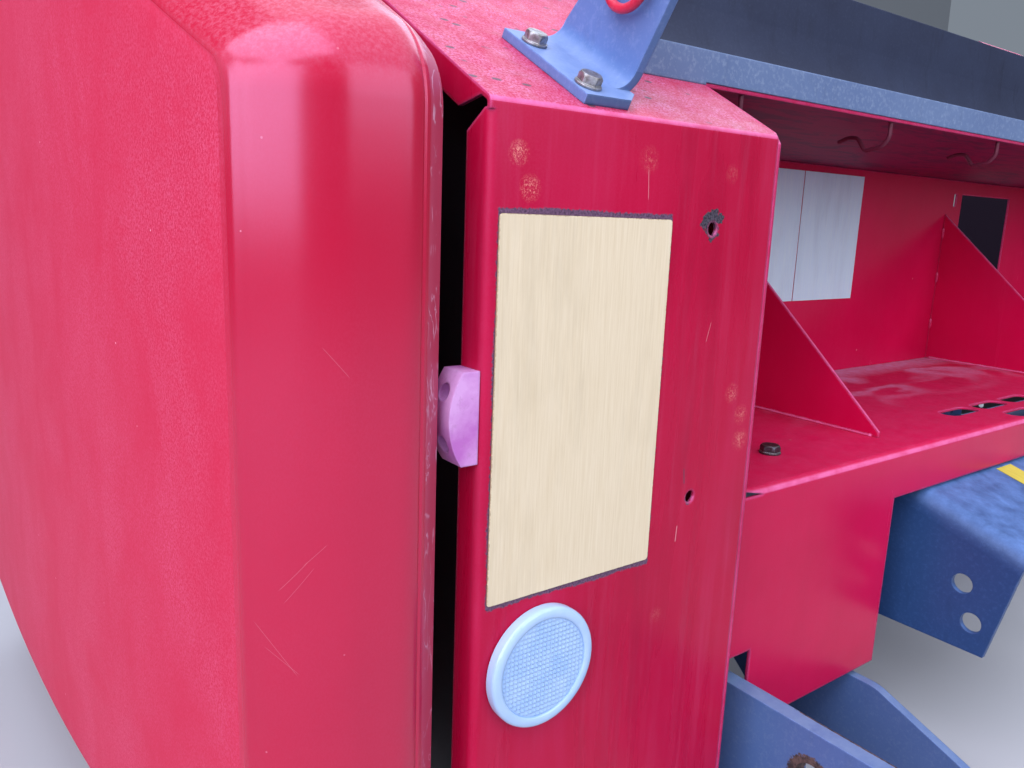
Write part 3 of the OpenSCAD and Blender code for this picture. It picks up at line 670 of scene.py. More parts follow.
@dataclass(frozen=True)
class SheetPaint(Finish):
    """Gloss paint on bent sheet metal, with runs, dust, scratches, chips, edges partly rubbed and partly
    painted as highlights, painted highlights on the folds, and painted shade underneath and behind the back
    wall.
    """

    colour: Colour
    shade: Colour
    dust: Colour
    dust_share: float
    # Lighter colour of runs, and of edges, where it is partly rubbed paint and partly a painted highlight.
    edge: Colour = (0.80, 0.12, 0.33)
    # Painted highlight colour along the folds.
    fold: Colour = (0.92, 0.20, 0.46)
    # Painted shade colour for what faces down.
    darkening: Colour = (0.16, 0.012, 0.062)
    edge_width: float = 0.003
    run_share: float = 1.0
    specks: float = 0.0
    swirls: float = 0.0
    chips: tuple[Spot, ...] = ()
    flecks: tuple[Spot, ...] = ()
    scratches: tuple[Scratch, ...] = ()
    glued: bool = False

    def paint(self, s: Shader) -> None:
        """Lays paint, dust, painted shade with smears of dirt, and marks, lightens the edges as partly rubbed
        paint and partly a painted highlight, and paints a highlight on the folds.

        Args:
            s: The material under way.
        """
        normal, rim = s.soft_edges(self.edge_width)
        upward = s.facing("Z", 0.3, 0.9)
        fine = s.noise(700, 3, 0.6)
        runs = s.noise(26, 6, 0.62, s.stretched(1, 1, 0.10), 0.6)
        threads = s.noise(170, 3, 0.6, s.stretched(1, 1, 0.05))
        s.base = s.blend(s.span(s.noise(5, 5, 0.6), 0.35, 0.68), self.colour, self.shade)
        s.lay(s.span(runs, 0.48, 0.72, 0, 0.08 * self.run_share), self.edge)
        s.lay(s.span(runs, 0.46, 0.28, 0, 0.40 * self.run_share), toned(self.shade, 0.66))
        s.lay(s.span(threads, 0.5, 0.8, 0, 0.04 * self.run_share), self.dust)
        self.lay_dust(s, upward, fine)
        self.lay_shade_and_smears(s)
        self.lay_marks(s, fine)
        # Edges lightened in the edge colour: partly rubbed paint, partly a painted highlight.
        s.lay(s.times(rim, s.span(s.noise(70, 5, 0.7), 0.34, 0.56, 0.45, 0.95)), self.edge)
        # Painted highlight: the fold colour is laid along folds, between upright faces and the roof.
        bend = s.times(s.facing("Z", 0.10, 0.30), s.facing("Z", 0.84, 0.70))
        s.lay(s.times(bend, s.span(s.noise(45, 5, 0.7), 0.3, 0.6, 0.35, 0.75)), self.fold)
        film = s.times(upward, s.span(s.noise(60, 5, 0.7), 0.35, 0.7, 0.4, 1))
        rough = s.span(s.plus(film, s.span(runs, 0.4, 0.7, 0, 0.3 * self.run_share)), 0, 1, 0.26, 0.6)
        rough = s.most(rough, s.times(s.facing("Z", -0.5, -0.9), 0.6))
        s.finish(Roughness=rough, Specular_IOR_Level=0.24, Specular_Tint=(1.0, 0.60, 1.0))
        s.relief(s.plus(s.times(fine, 0.15), s.noise(26, 3)), 0.0004, 0.3, normal)

    def lay_dust(self, s: Shader, upward: Socket, fine: Socket) -> None:
        """Lays grain, specks and swept swirls of dust on what faces upwards.

        Args:
            s: The material under way.
            upward: Share by which the surface faces up.
            fine: Fine noise.
        """
        grain = s.times(s.span(fine, 0.40, 0.60), s.span(s.noise(45, 8, 0.8), 0.36, 0.62, 0.25, 1))
        s.lay(s.times(grain, s.span(upward, 0, 1, 0.02, self.dust_share)), self.dust)
        if self.swirls:
            bands = s.off_middle(s.noise(4.2, 2, 0.4, s.stretched(0.8, 1.6, 1), 1.2))
            rear = LAYOUT.spot(0, WALL_Y, 0).y
            near_wall = s.span(s.part("Y"), rear - 0.2, rear - 0.02)
            corner = s.span(s.part("Y"), rear - 0.060, rear - 0.020)
            swept = s.most(s.times(s.span(bands, 0.09, 0.025), near_wall), corner)
            swept = s.times(swept, s.span(s.noise(90, 6, 0.7), 0.25, 0.6, 0.3, 1))
            s.lay(s.times(swept, upward, self.swirls), self.dust)
        if self.specks:
            spots = s.span(s.cells(70, s.stretched(0.55, 1, 1)), 0.15, 0.11)
            spots = s.times(spots, s.times(upward, s.span(s.noise(14), 0.36, 0.48)))
            s.lay(s.times(spots, self.specks), (0.06, 0.065, 0.075))

    def lay_shade_and_smears(self, s: Shader) -> None:
        """Paints shade on what faces down, with darker smears there that are partly dirt, and paints shade on
        what lies behind the back wall.

        Args:
            s: The material under way.
        """
        smears = s.noise(13, 7, 0.7, s.stretched(1, 3.5, 1), 1.5)
        under = s.facing("Z", -0.5, -0.9)
        # Painted shade: what faces down is darkened towards the shade colour.
        s.lay(s.times(under, 0.9), self.darkening)
        # Darker smears on what faces down, partly dirt and partly painted shade.
        s.lay(s.times(under, s.span(smears, 0.48, 0.60, 0, 0.75)), (0.050, 0.022, 0.045))
        # Painted shade: what lies behind the back wall and does not face up is painted near black.
        rear = LAYOUT.spot(0, WALL_REAR_Y, 0).y
        behind = s.times(s.span(s.part("Y"), rear, rear + 0.002), s.facing("Z", 0.3, 0.1))
        s.lay(behind, (0.014, 0.010, 0.016))

    def lay_marks(self, s: Shader, fine: Socket) -> None:
        """Adds glue round the sign, chips, flecked wear marks and scratches.

        Args:
            s: The material under way.
            fine: Fine noise.
        """
        if self.glued:
            glue = s.glue_edge(SIGN_CENTRE, SIGN_SIZE, s.noise(340, 5, 0.75))
            s.lay(glue, s.blend(s.span(fine, 0.3, 0.7), (0.05, 0.025, 0.05), (0.22, 0.12, 0.20)))
        nicks = s.times(s.span(s.cells(30), 0.05, 0.03), s.span(s.noise(19), 0.56, 0.6))
        s.lay(s.times(nicks, 0.5), (0.72, 0.30, 0.36))
        ragged = s.span(s.noise(240, 4, 0.7), 0.3, 0.7, 0, 0.6)
        grey = s.blend(s.span(fine, 0.4, 0.6), (0.030, 0.025, 0.035), (0.10, 0.085, 0.11))
        for spot in self.chips:
            s.lay(s.span(s.plus(s.near(spot, 0.3, 1.35), ragged), 0.80, 0.90), grey)
        flaked = s.span(s.noise(420, 6, 0.85, None, 1.5), 0.50, 0.58)
        for spot in self.flecks:
            s.lay(s.times(s.near(spot, 0.2, 1.2), flaked, spot.share), (0.90, 0.36, 0.28))
        s.scratch(self.scratches)


@dataclass(frozen=True)
class CoverPlastic(Finish):
    """Through-coloured moulding of the side covers: matte grained side in painted light, gloss rolled edges.
    """

    colour: Colour
    pale: Colour
    rim_x: float
    scratches: tuple[Scratch, ...]
    rim_width: float = 0.0125

    def paint(self, s: Shader) -> None:
        """Lays grain, film, motes and lint, paints light on the flat side, and pales the rim.

        Args:
            s: The material under way.
        """
        side = s.facing("X", 0.925, 0.95)
        upward = s.facing("Z", 0.1, 0.9)
        grain = s.noise(950, 4, 0.75, s.stretched(1, 1, 0.7))
        patches = s.noise(16, 6, 0.68, s.stretched(1, 1, 0.55), 0.4)
        clouds = s.span(s.noise(4.5, 6, 0.62), 0.3, 0.7, 0, 0.6)
        s.base = s.blend(clouds, self.colour, toned(self.colour, 0.84))
        # Painted light: the flat side is laid in a lighter copy of the colour.
        s.lay(s.times(side, 0.6), toned(self.colour, 1.32))
        dull = s.times(s.span(grain, 0.40, 0.62), s.span(patches, 0.36, 0.62, 0.25, 0.95))
        s.lay(s.times(dull, s.span(side, 0, 1, 0.05, 0.50)), self.pale)
        s.lay(s.times(upward, s.span(s.noise(420, 6, 0.75), 0.42, 0.66, 0, 0.30)), (0.80, 0.34, 0.50))
        motes = s.times(s.span(s.cells(42), 0.030, 0.018), s.span(s.noise(13), 0.46, 0.54))
        s.lay(s.times(motes, 0.8), (0.88, 0.46, 0.54))
        lint = s.times(s.span(s.cells(46, s.stretched(0.5, 1, 1)), 0.06, 0.04), s.facing("Z", 0.35, 0.6))
        s.lay(s.times(lint, s.span(s.noise(9), 0.5, 0.56)), (0.12, 0.10, 0.13))
        rim_from = abs(self.rim_x) + self.rim_width
        rim = s.span(s.size(s.part("X")), rim_from, rim_from - 0.0015)
        s.lay(s.times(rim, 0.8), (0.48, 0.055, 0.11))
        s.lay(s.times(rim, s.squiggles(70, 1, 1, 0.35), 0.6), (0.82, 0.50, 0.66))
        s.scratch(self.scratches)
        patchy = s.times(s.noise(11, 4), 0.12)
        rough = s.plus(s.span(side, 0, 1, 0.15, 0.60), patchy, s.times(rim, 0.25))
        s.finish(Roughness=rough, Specular_IOR_Level=0.9, Specular_Tint=(0.95, 0.62, 1.0))
        s.relief(s.plus(s.times(s.noise(5, 2), 0.9), s.times(grain, 0.04)), 0.0016, 0.22)


@dataclass(frozen=True)
class FramePaint(Finish):
    """Satin paint on plate and tube, with dirt in streaks, rust at edges, dusty tops, edges partly rubbed and
    partly painted as highlights, and painted shade on front faces and inside brackets where asked.
    """

    colour: Colour
    light: Colour
    rust_share: float = 0.3
    dust: Colour = (0.22, 0.31, 0.48)
    specks: float = 0.3
    roughness: float = 0.4
    rust_at: tuple[Spot, ...] = ()
    rust_lines: tuple[Scratch, ...] = ()
    # Painted shade inside brackets between these walls, and on what faces up behind this depth.
    shade_between: tuple[float, float] | None = None
    shade_from_y: float = 44.0
    # Painted shade colour for what faces the front.
    front_shade: Colour | None = None

    def paint(self, s: Shader) -> None:
        """Lays paint, dust, dirt, edges partly rubbed and partly painted as highlights, rust and painted
        shade.

        Args:
            s: The material under way.
        """
        normal, rim = s.soft_edges(0.002)
        upward = s.facing("Z", 0.3, 0.9)
        s.base = s.blend(s.span(s.noise(7, 5, 0.6), 0.35, 0.7), self.colour, self.light)
        mottle = s.noise(260, 5, 0.7)
        s.lay(s.span(mottle, 0.5, 0.72, 0, self.specks), self.dust)
        darkening = s.span(s.noise(14, 6, 0.7, s.stretched(3, 3, 0.8)), 0.55, 0.78, 0, 0.4)
        s.lay(darkening, toned(self.colour, 0.5))
        film = s.times(upward, s.span(s.noise(48, 6, 0.7), 0.35, 0.7, 0.2, 0.7))
        s.lay(film, self.dust)
        # Edges in a lighter copy of the paint: partly rubbed paint, partly a painted highlight.
        wear_and_highlight = s.times(rim, s.span(s.noise(90, 5, 0.7), 0.42, 0.6, 0.25, 0.8))
        s.lay(wear_and_highlight, toned(self.light, 1.7, 0.04))
        # Painted shade: what faces the front is laid in a darker copy of the paint.
        if self.front_shade is not None:
            s.lay(s.facing("Y", -0.80, -0.95), self.front_shade)
        rusty = self.rusted(s)
        s.lay(rusty, s.blend(s.span(s.noise(210, 3), 0.4, 0.6), (0.045, 0.030, 0.030), (0.14, 0.085, 0.075)))
        # Painted shade inside brackets and on what faces up under the shelf.
        if self.shade_between is not None:
            s.lay(self.painted_inside_shade(s, upward), (0.010, 0.016, 0.030))
        rough = s.span(s.plus(darkening, rusty, film), 0, 1, self.roughness, 0.75)
        s.finish(Roughness=rough, Specular_IOR_Level=0.4)
        s.relief(s.plus(s.times(mottle, 0.3), rusty), 0.0004, 0.35, normal)

    def rusted(self, s: Shader) -> Socket:
        """Share of rust: scattered patches, and ragged ones at chosen spots and lines.

        Args:
            s: The material under way.

        Returns:
            The share's socket.
        """
        ragged = s.span(s.noise(300, 4, 0.7), 0.3, 0.7, 0, 0.5)
        patch = s.times(s.span(s.noise(24, 8, 0.75), 0.68, 0.73), self.rust_share)
        for spot in self.rust_at:
            patch = s.most(patch, s.span(s.plus(s.near(spot, 0.8, 1.25), ragged), 0.7, 0.85))
        for line in self.rust_lines:
            patch = s.most(patch, s.span(s.plus(s.along(line), ragged), 0.85, 0.95))
        return patch

    def painted_inside_shade(self, s: Shader, upward: Socket) -> Socket:
        """Share of painted shade: inside a bracket between two walls, and on what faces up under the shelf.

        Args:
            s: The material under way.
            upward: Share by which the surface faces up.

        Returns:
            The share's socket.
        """
        low, high = (LAYOUT.folded(x, 0, 0).x for x in self.shade_between)
        across = s.size(s.part("X"))
        between = s.times(s.span(across, low, low - MM), s.span(across, high, high + MM))
        within = s.times(between, s.facing("Z", 0.5, 0.2))
        from_y = LAYOUT.spot(0, self.shade_from_y, 0).y
        return s.most(within, s.times(upward, s.span(s.part("Y"), from_y, from_y + 0.004)))


@dataclass(frozen=True)
class BareMetal(Finish):
    """Dull zinc-plated steel with stains."""

    colour: Colour
    stain: Colour
    metallic: float = 0.85

    def paint(self, s: Shader) -> None:
        """Lays stains and bright edges.

        Args:
            s: The material under way.
        """
        normal, rim = s.soft_edges(0.0006)
        mottle = s.noise(240, 5, 0.65)
        s.base = s.blend(s.span(mottle, 0.38, 0.62), self.colour, self.stain)
        s.lay(s.times(rim, 0.6), (0.80, 0.80, 0.80))
        s.finish(Metallic=self.metallic, Roughness=s.span(mottle, 0.3, 0.7, 0.32, 0.6))
        s.relief(s.noise(900, 2), 0.0001, 0.3, normal)


@dataclass(frozen=True)
class DullPlastic(Finish):
    """Weathered solid plastic, grained and grubby."""

    colour: Colour
    pale: Colour
    grub: Colour
    roughness: float = 0.45

    def paint(self, s: Shader) -> None:
        """Lays clouds, grub and pale edges.

        Args:
            s: The material under way.
        """
        normal, rim = s.soft_edges(0.0015)
        s.base = s.blend(s.span(s.noise(45, 5), 0.35, 0.65), self.colour, self.pale)
        s.lay(s.span(s.noise(130, 6, 0.7), 0.56, 0.74, 0, 0.5), self.grub)
        s.lay(s.times(rim, 0.5), self.pale)
        s.finish(Roughness=self.roughness, Specular_IOR_Level=0.4)
        s.relief(s.noise(520, 3), 0.00025, 0.35, normal)


@dataclass(frozen=True)
class LensPlastic(Finish):
    """Clear gloss plastic over pale prisms, its ring paler than its field, its prism faces in painted light
    and shade by how they face.
    """

    centre: tuple[float, float]
    field_r: float
    ring: Colour = (0.44, 0.63, 0.90)
    # Painted shade colour of the slanted prism faces.
    dip: Colour = (0.20, 0.38, 0.74)
    # Painted light colour of the prism faces that face the front.
    peak: Colour = (0.36, 0.55, 0.86)
    front_y: float = -8.0

    def paint(self, s: Shader) -> None:
        """Tells ring and field apart by the distance to the centre, paints light and shade on the prisms by
        how they face, and lays film and dirt.

        Args:
            s: The material under way.
        """
        inside = s.near(Spot(self.centre[0], self.front_y, self.centre[1], self.field_r), 1.0, 1.02)
        # Painted light and shade: prism faces that face the front get the peak colour, slanted ones the
        # darker dip colour.
        prisms = s.blend(s.facing("Y", -0.75, -0.97), self.dip, self.peak)
        s.base = s.blend(inside, self.ring, prisms)
        s.lay(s.span(s.noise(60, 4), 0.4, 0.7, 0, 0.3), (0.62, 0.78, 0.96))
        s.lay(s.span(s.noise(230, 6, 0.7), 0.62, 0.75, 0, 0.35), (0.22, 0.33, 0.50))
        s.finish(Roughness=0.18, Coat_Weight=0.3, Coat_Roughness=0.06)
        s.relief(s.noise(300, 2), 0.0001, 0.15)


@dataclass(frozen=True)
class SignFoil(Finish):
    """Blank foil of a sign: brushed face in streaks, darker thin line at its ragged edge."""

    low: Vector
    high: Vector
    face: Colour
    grain: Colour
    line: Colour
    border: float = 0.0008

    def edge_gap(self, s: Shader, axis: str) -> Socket:
        """Distance to the nearer edge along one axis.

        Args:
            s: The material under way.
            axis: The axis.

        Returns:
            The distance in metres.
        """
        at, index = s.part(axis), "XYZ".index(axis)
        from_low = s.calc("SUBTRACT", at, self.low[index], held=True)
        from_high = s.calc("SUBTRACT", self.high[index], at, held=True)
        return s.calc("MINIMUM", from_low, from_high)

    def paint(self, s: Shader) -> None:
        """Lays streaks and smudges, and a line where the ragged edge is near.

        Args:
            s: The material under way.
        """
        grain = s.noise(90, 5, 0.7, s.stretched(8, 1, 0.25))
        smudges = s.noise(14, 5, 0.65, s.stretched(2.5, 1, 0.5))
        s.base = s.blend(s.span(grain, 0.32, 0.7), self.face, self.grain)
        s.lay(s.span(smudges, 0.5, 0.78, 0, 0.45), toned(self.grain, 0.72))
        gap = s.calc("MINIMUM", self.edge_gap(s, "X"), self.edge_gap(s, "Z"))
        ragged = s.plus(gap, s.span(s.noise(420, 4, 0.7), 0.3, 0.7, 0, 0.0008))
        s.lay(s.span(ragged, self.border, self.border * 0.7), self.line)
        s.finish(Roughness=s.span(grain, 0.3, 0.7, 0.36, 0.52), Specular_IOR_Level=0.35)
        s.relief(grain, 0.00008, 0.2)


@dataclass(frozen=True)
class FloorPaint(Finish):
    """Plain pale floor, which is darker to diffuse rays so that it throws little light back."""

    seen: Colour = (0.52, 0.53, 0.55)
    bounced: Colour = (0.20, 0.205, 0.22)

    def paint(self, s: Shader) -> None:
        """Picks the colour by the kind of ray.

        Args:
            s: The material under way.
        """
        path = s.node("LightPath", {}).outputs
        seen = s.most(s.most(path["Is Camera Ray"], path["Is Glossy Ray"]), path["Is Transmission Ray"])
        s.base = s.blend(seen, self.bounced, self.seen)
        s.finish(Roughness=0.9, Specular_IOR_Level=0.2)


FACE_CHIPS = (
    Spot(175, 0, 219, 7.5), Spot(182, 0, 222, 6.5), Spot(187, 0, 221, 5.0), Spot(180.5, 0, 213, 8.0),
    Spot(180, 0, 27, 5.5))
FACE_FLECKS = (
    Spot(19.5, 0, 251, 6.5, 0.95), Spot(28, 0, 233, 7.0, 0.9), Spot(118, 0, 254, 8.0, 0.3),
    Spot(196, 0, 250, 6.0, 0.3), Spot(217, 0, 99, 7.0, 0.55), Spot(229, 0, 82, 7.0, 0.55),
    Spot(231, 0, 63, 8.0, 0.6), Spot(155, 0, -56, 6.0, 0.25))
FACE_SCRATCHES = (
    Scratch((118, 0, 249), (119.5, 0, 230)), Scratch((170.2, 0, 8.7), (169.5, 0, -4), 1.2),
    Scratch((188, 0, 152), (184, 0, 138), 0.5),
    Scratch((172.5, 0, 50), (174, 0, 38), 1.4, 0.8, (0.10, 0.05, 0.08)))
COVER_SCRATCHES = (
    Scratch((-94, 8, 153), (-81, 4, 137), 0.3, 0.25), Scratch((-92, 8, 52), (-103, 14, 41), 0.3, 0.25),
    Scratch((-101, 9, 43), (-114, 14, 27), 0.3, 0.25), Scratch((-98, 9, 40), (-112, 14, 20), 0.3, 0.2),
    Scratch((-124, 20, 10), (-106, 12, -21), 0.3, 0.22), Scratch((-120, 18, -4), (-105, 10, -20), 0.3, 0.2))
RED_SHEET = SheetPaint(
    "crimson_sheet", (0.54, 0.002, 0.044), (0.45, 0.001, 0.032), (0.74, 0.30, 0.56), 0.62, specks=0.9,
    chips=FACE_CHIPS, flecks=FACE_FLECKS, scratches=FACE_SCRATCHES, glued=True)
BOX_SHEET = SheetPaint(
    "net_box_sheet", (0.66, 0.002, 0.068), (0.57, 0.001, 0.052), (0.70, 0.34, 0.60), 0.12,
    edge_width=0.004, run_share=0.15, swirls=0.95)
COVER_PLASTIC = CoverPlastic(
    "cover_plastic", (0.53, 0.003, 0.032), (0.78, 0.13, 0.25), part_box("side_cover_left")[1].x,
    COVER_SCRATCHES)
GREY_PAINT = FramePaint("blue_grey_plate", (0.092, 0.172, 0.410), (0.12, 0.21, 0.46))
# The roll bracket's front faces carry painted shade.
BRACKET_PAINT = FramePaint(
    "bracket_plate", (0.110, 0.200, 0.455), (0.140, 0.240, 0.510), 0.4, (0.30, 0.40, 0.66),
    front_shade=(0.030, 0.055, 0.125))
# Painted light and shade: the box brackets are a dark shaded copy of the frame blue, and their bright blue
# film on top is partly dust and partly painted light.
BOX_PAINT = FramePaint(
    "box_bracket", (0.020, 0.060, 0.180), (0.030, 0.078, 0.215), 0.12, (0.16, 0.30, 0.66), 0.12,
    shade_between=(606.5, 893.5))
RAIL_PAINT = FramePaint(
    "dusty_rail", (0.115, 0.175, 0.330), (0.15, 0.22, 0.38), 0.35, (0.30, 0.38, 0.52), 0.6, 0.5)
LUG_PAINT = FramePaint(
    "rusty_lug", (0.080, 0.150, 0.360), (0.105, 0.185, 0.405), 0.25, rust_at=(Spot(297, -50, -219, 21.0),),
    rust_lines=(Scratch((313, -12, -176), (313, -165, -176), 5.0, flat=False),))
# Painted shade: the tray is near-black blue, standing for the shadow behind the rail.
TRAY_SHADE_PAINT = FramePaint(
    "tray_painted_shade", (0.014, 0.020, 0.052), (0.022, 0.032, 0.075), 0.1, (0.05, 0.07, 0.12), roughness=0.5)
# Painted shade: side plates, hinge brackets and straps are near black so that the gaps round the covers read
# as shadow.
GAP_SHADE_PAINT = FramePaint(
    "gap_shade_plate", (0.006, 0.006, 0.009), (0.012, 0.012, 0.016), 0.1, (0.03, 0.03, 0.035))
RED_PIN = FramePaint(
    "red_ring", (0.62, 0.012, 0.05), (0.74, 0.04, 0.09), 0.05, (0.7, 0.2, 0.28), roughness=0.3)
HOOK_PAINT = FramePaint(
    "hook_wire", (0.075, 0.006, 0.022), (0.14, 0.010, 0.035), 0.3, (0.14, 0.03, 0.06), roughness=0.5)
ZINC = BareMetal("zinc_bolts", (0.42, 0.42, 0.44), (0.22, 0.20, 0.19))
DARK_BOLT = BareMetal("dark_bolt", (0.10, 0.09, 0.12), (0.05, 0.035, 0.04))
PINK_BLOCK = DullPlastic("pink_block", (0.54, 0.165, 0.54), (0.76, 0.40, 0.76), (0.42, 0.16, 0.38))


def dress(finish: Finish, *nodes: str) -> None:
    """Gives CAD nodes their finish.

    Args:
        finish: The finish.
        nodes: The nodes' names.
    """
    for node in nodes:
        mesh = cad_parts[node].data
        mesh.materials.clear()
        mesh.materials.append(finish.material)
        LOG.info("dressed %s in %s", node, finish.name)


def mount(obj: bpy.types.Object, slot: str, *nodes: str, body: str = ROOT) -> None:
    """Sets a new piece on its body, and lets it stand for CAD nodes by hiding them.

    Args:
        obj: The piece.
        slot: The record's material slot; not used.
        nodes: CAD nodes that it replaces.
        body: The body it rides on.
    """
    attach(obj, body)
    if nodes:
        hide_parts(*nodes)
    LOG.info("built %s on %s, %d faces", obj.name, body, len(obj.data.polygons))


@dataclass
class SideCover:
    """One moulded side cover: turned rim, rolled front and top, bulged side."""

    side: Side
    gap: float = 25.5
    rim: float = 30.0
    wall: float = 4.0
    length: float = 776.0
    front: float = 4.0
    drop: float = 230.0
    rise: float = 11.5
    depth: float = 127.0
    bulge: float = 80.0
    bulge_from: float = 20.0
    bulge_run: float = 280.0
    middle_z: float = 120.0
    radii: tuple[float, float, float, float] = (40.0, 60.0, 60.0, 90.0)

    def corners(self) -> list[tuple[np.ndarray, float, float, float]]:
        """Centre, radius and first and last angle of the outline's round corners.

        The upper corners lie under a line that runs above the roof by the rise.

        Returns:
            The upper front, upper rear, lower rear and lower front corner.
        """
        front_r, rear_r, low_rear_r, low_front_r = self.radii
        rear = self.front + self.length
        tilt = math.pi / 2 + ROOF_SLOPE
        above = ROOF_FOLD_Z + self.rise
        upper = [
            np.array([y, above + y * math.tan(ROOF_SLOPE) - r / math.cos(ROOF_SLOPE)])
            for y, r in ((self.front + front_r, front_r), (rear - rear_r, rear_r))]
        low_rear = np.array([rear - low_rear_r, low_rear_r - self.drop])
        low_front = np.array([self.front + low_front_r, low_front_r - self.drop])
        return [
            (upper[0], front_r, math.pi, tilt), (upper[1], rear_r, tilt, 0.0),
            (low_rear, low_rear_r, 0.0, -math.pi / 2), (low_front, low_front_r, -math.pi / 2, -math.pi)]

    def outline(self, inward: np.ndarray, arc_steps: int = 22, edge_steps: int = 26) -> np.ndarray:
        """The closed side outline at several inward distances.

        Each corner is an arc whose radius shrinks with the distance, and straight lengths
        join the arcs.

        Args:
            inward: Distances in millimetres.
            arc_steps: Steps on each arc.
            edge_steps: Steps on each straight length.

        Returns:
            Points as distance by outline by (y, z).
        """
        least_r = 1.5
        arcs = []
        for centre, radius, first, last in self.corners():
            turn = np.linspace(first, last, arc_steps + 1)[None, :]
            r = np.maximum(radius - inward, least_r)[:, None]
            arcs.append(np.stack([centre[0] + r * np.cos(turn), centre[1] + r * np.sin(turn)], axis=-1))
        share = np.linspace(0, 1, edge_steps + 1)[None, 1:-1, None]
        pieces = []
        for k, arc in enumerate(arcs):
            start, end = arc[:, -1:], arcs[(k + 1) % 4][:, :1]
            pieces += [arc, start + (end - start) * share]
        return np.concatenate(pieces, axis=1)

    def side_depth(self, y: np.ndarray) -> np.ndarray:
        """How far the side stands out, growing towards the back by an exponential law."""
        return self.depth + self.bulge * (1 - np.exp(-np.maximum(y - self.bulge_from, 0) / self.bulge_run))

    def section(self, inset: float) -> tuple[np.ndarray, np.ndarray]:
        """The section across the rim as inward distance and share of depth.

        The rolled edge is a smooth curve through a few places, and the inner wall uses the
        same curve one wall further in.

        Args:
            inset: Wall thickness to stay inside the outer face.

        Returns:
            Inward distances and depth shares.
        """
        farthest_out, steps = -11.8, 98
        places = np.array([
            [self.rim, 0.0], [12.0, 0.0], [1.2, 0.0], [0.0, 0.012], [-6.6, 0.10], [-8.8, 0.145],
            [-8.6, 0.158], [-9.6, 0.17], [-11.7, 0.27], [-9.0, 0.52], [0.0, 0.76], [9.6, 0.90],
            [16.5, 0.968], [21.0, 0.993], [27.0, 1.0]])
        knots = np.linspace(0, 1, len(places))
        fine = np.linspace(0, 1, steps)
        inward, share = (smooth_through(knots, column, fine) for column in places.T)
        inward = np.maximum(inward, farthest_out) + inset * np.clip(3.0 * fine, 0.0, 1.0)
        return inward, np.clip(share, 0.0, 1.0)

    def skin(self, inset: float) -> np.ndarray:
        """One face of the moulding, from its rim over the rolled edge to the dome's middle.

        A ring of the rolled edge is the outline at one inward distance, standing out by its
        share of the side's depth. The dome's rings shrink towards the middle, each point at
        the depth of its own place.

        Args:
            inset: Wall thickness to stay inside the outer face.

        Returns:
            Rings of points in layout millimetres.
        """
        middle = np.array([self.front + self.length * 0.5, self.middle_z])
        shrink = 1 - (1 - np.linspace(0, 1, 26)[1:]) ** 1.25
        inward, share = self.section(inset)
        flat = self.outline(inward)
        depth = self.side_depth(flat[..., 0]) - self.gap
        rolled_x = -self.gap - inset - (depth - 2 * inset) * share[:, None]
        spread = flat[-1] + (middle - flat[-1]) * shrink[:, None, None]
        spread[-1] = middle
        dome_x = -self.side_depth(spread[..., 0]) + inset
        rolled = np.concatenate([rolled_x[..., None], flat], axis=-1)
        return np.concatenate([rolled, np.concatenate([dome_x[..., None], spread], axis=-1)])

    def build(self) -> None:
        """Builds the cover as one closed wall and sets it on its hinged body."""
        word = self.side.word
        outer, inner = self.skin(0.0), self.skin(self.wall)
        surface = Surface()
        surface.add_grid(np.concatenate([inner[::-1], outer]), self.side, close_cols=True)
        obj = surface.build(f"cover_shell_{word}", COVER_PLASTIC, sharp=50)
        mount(obj, "red_cover", f"side_cover_{word}", body=f"cover_{word}")


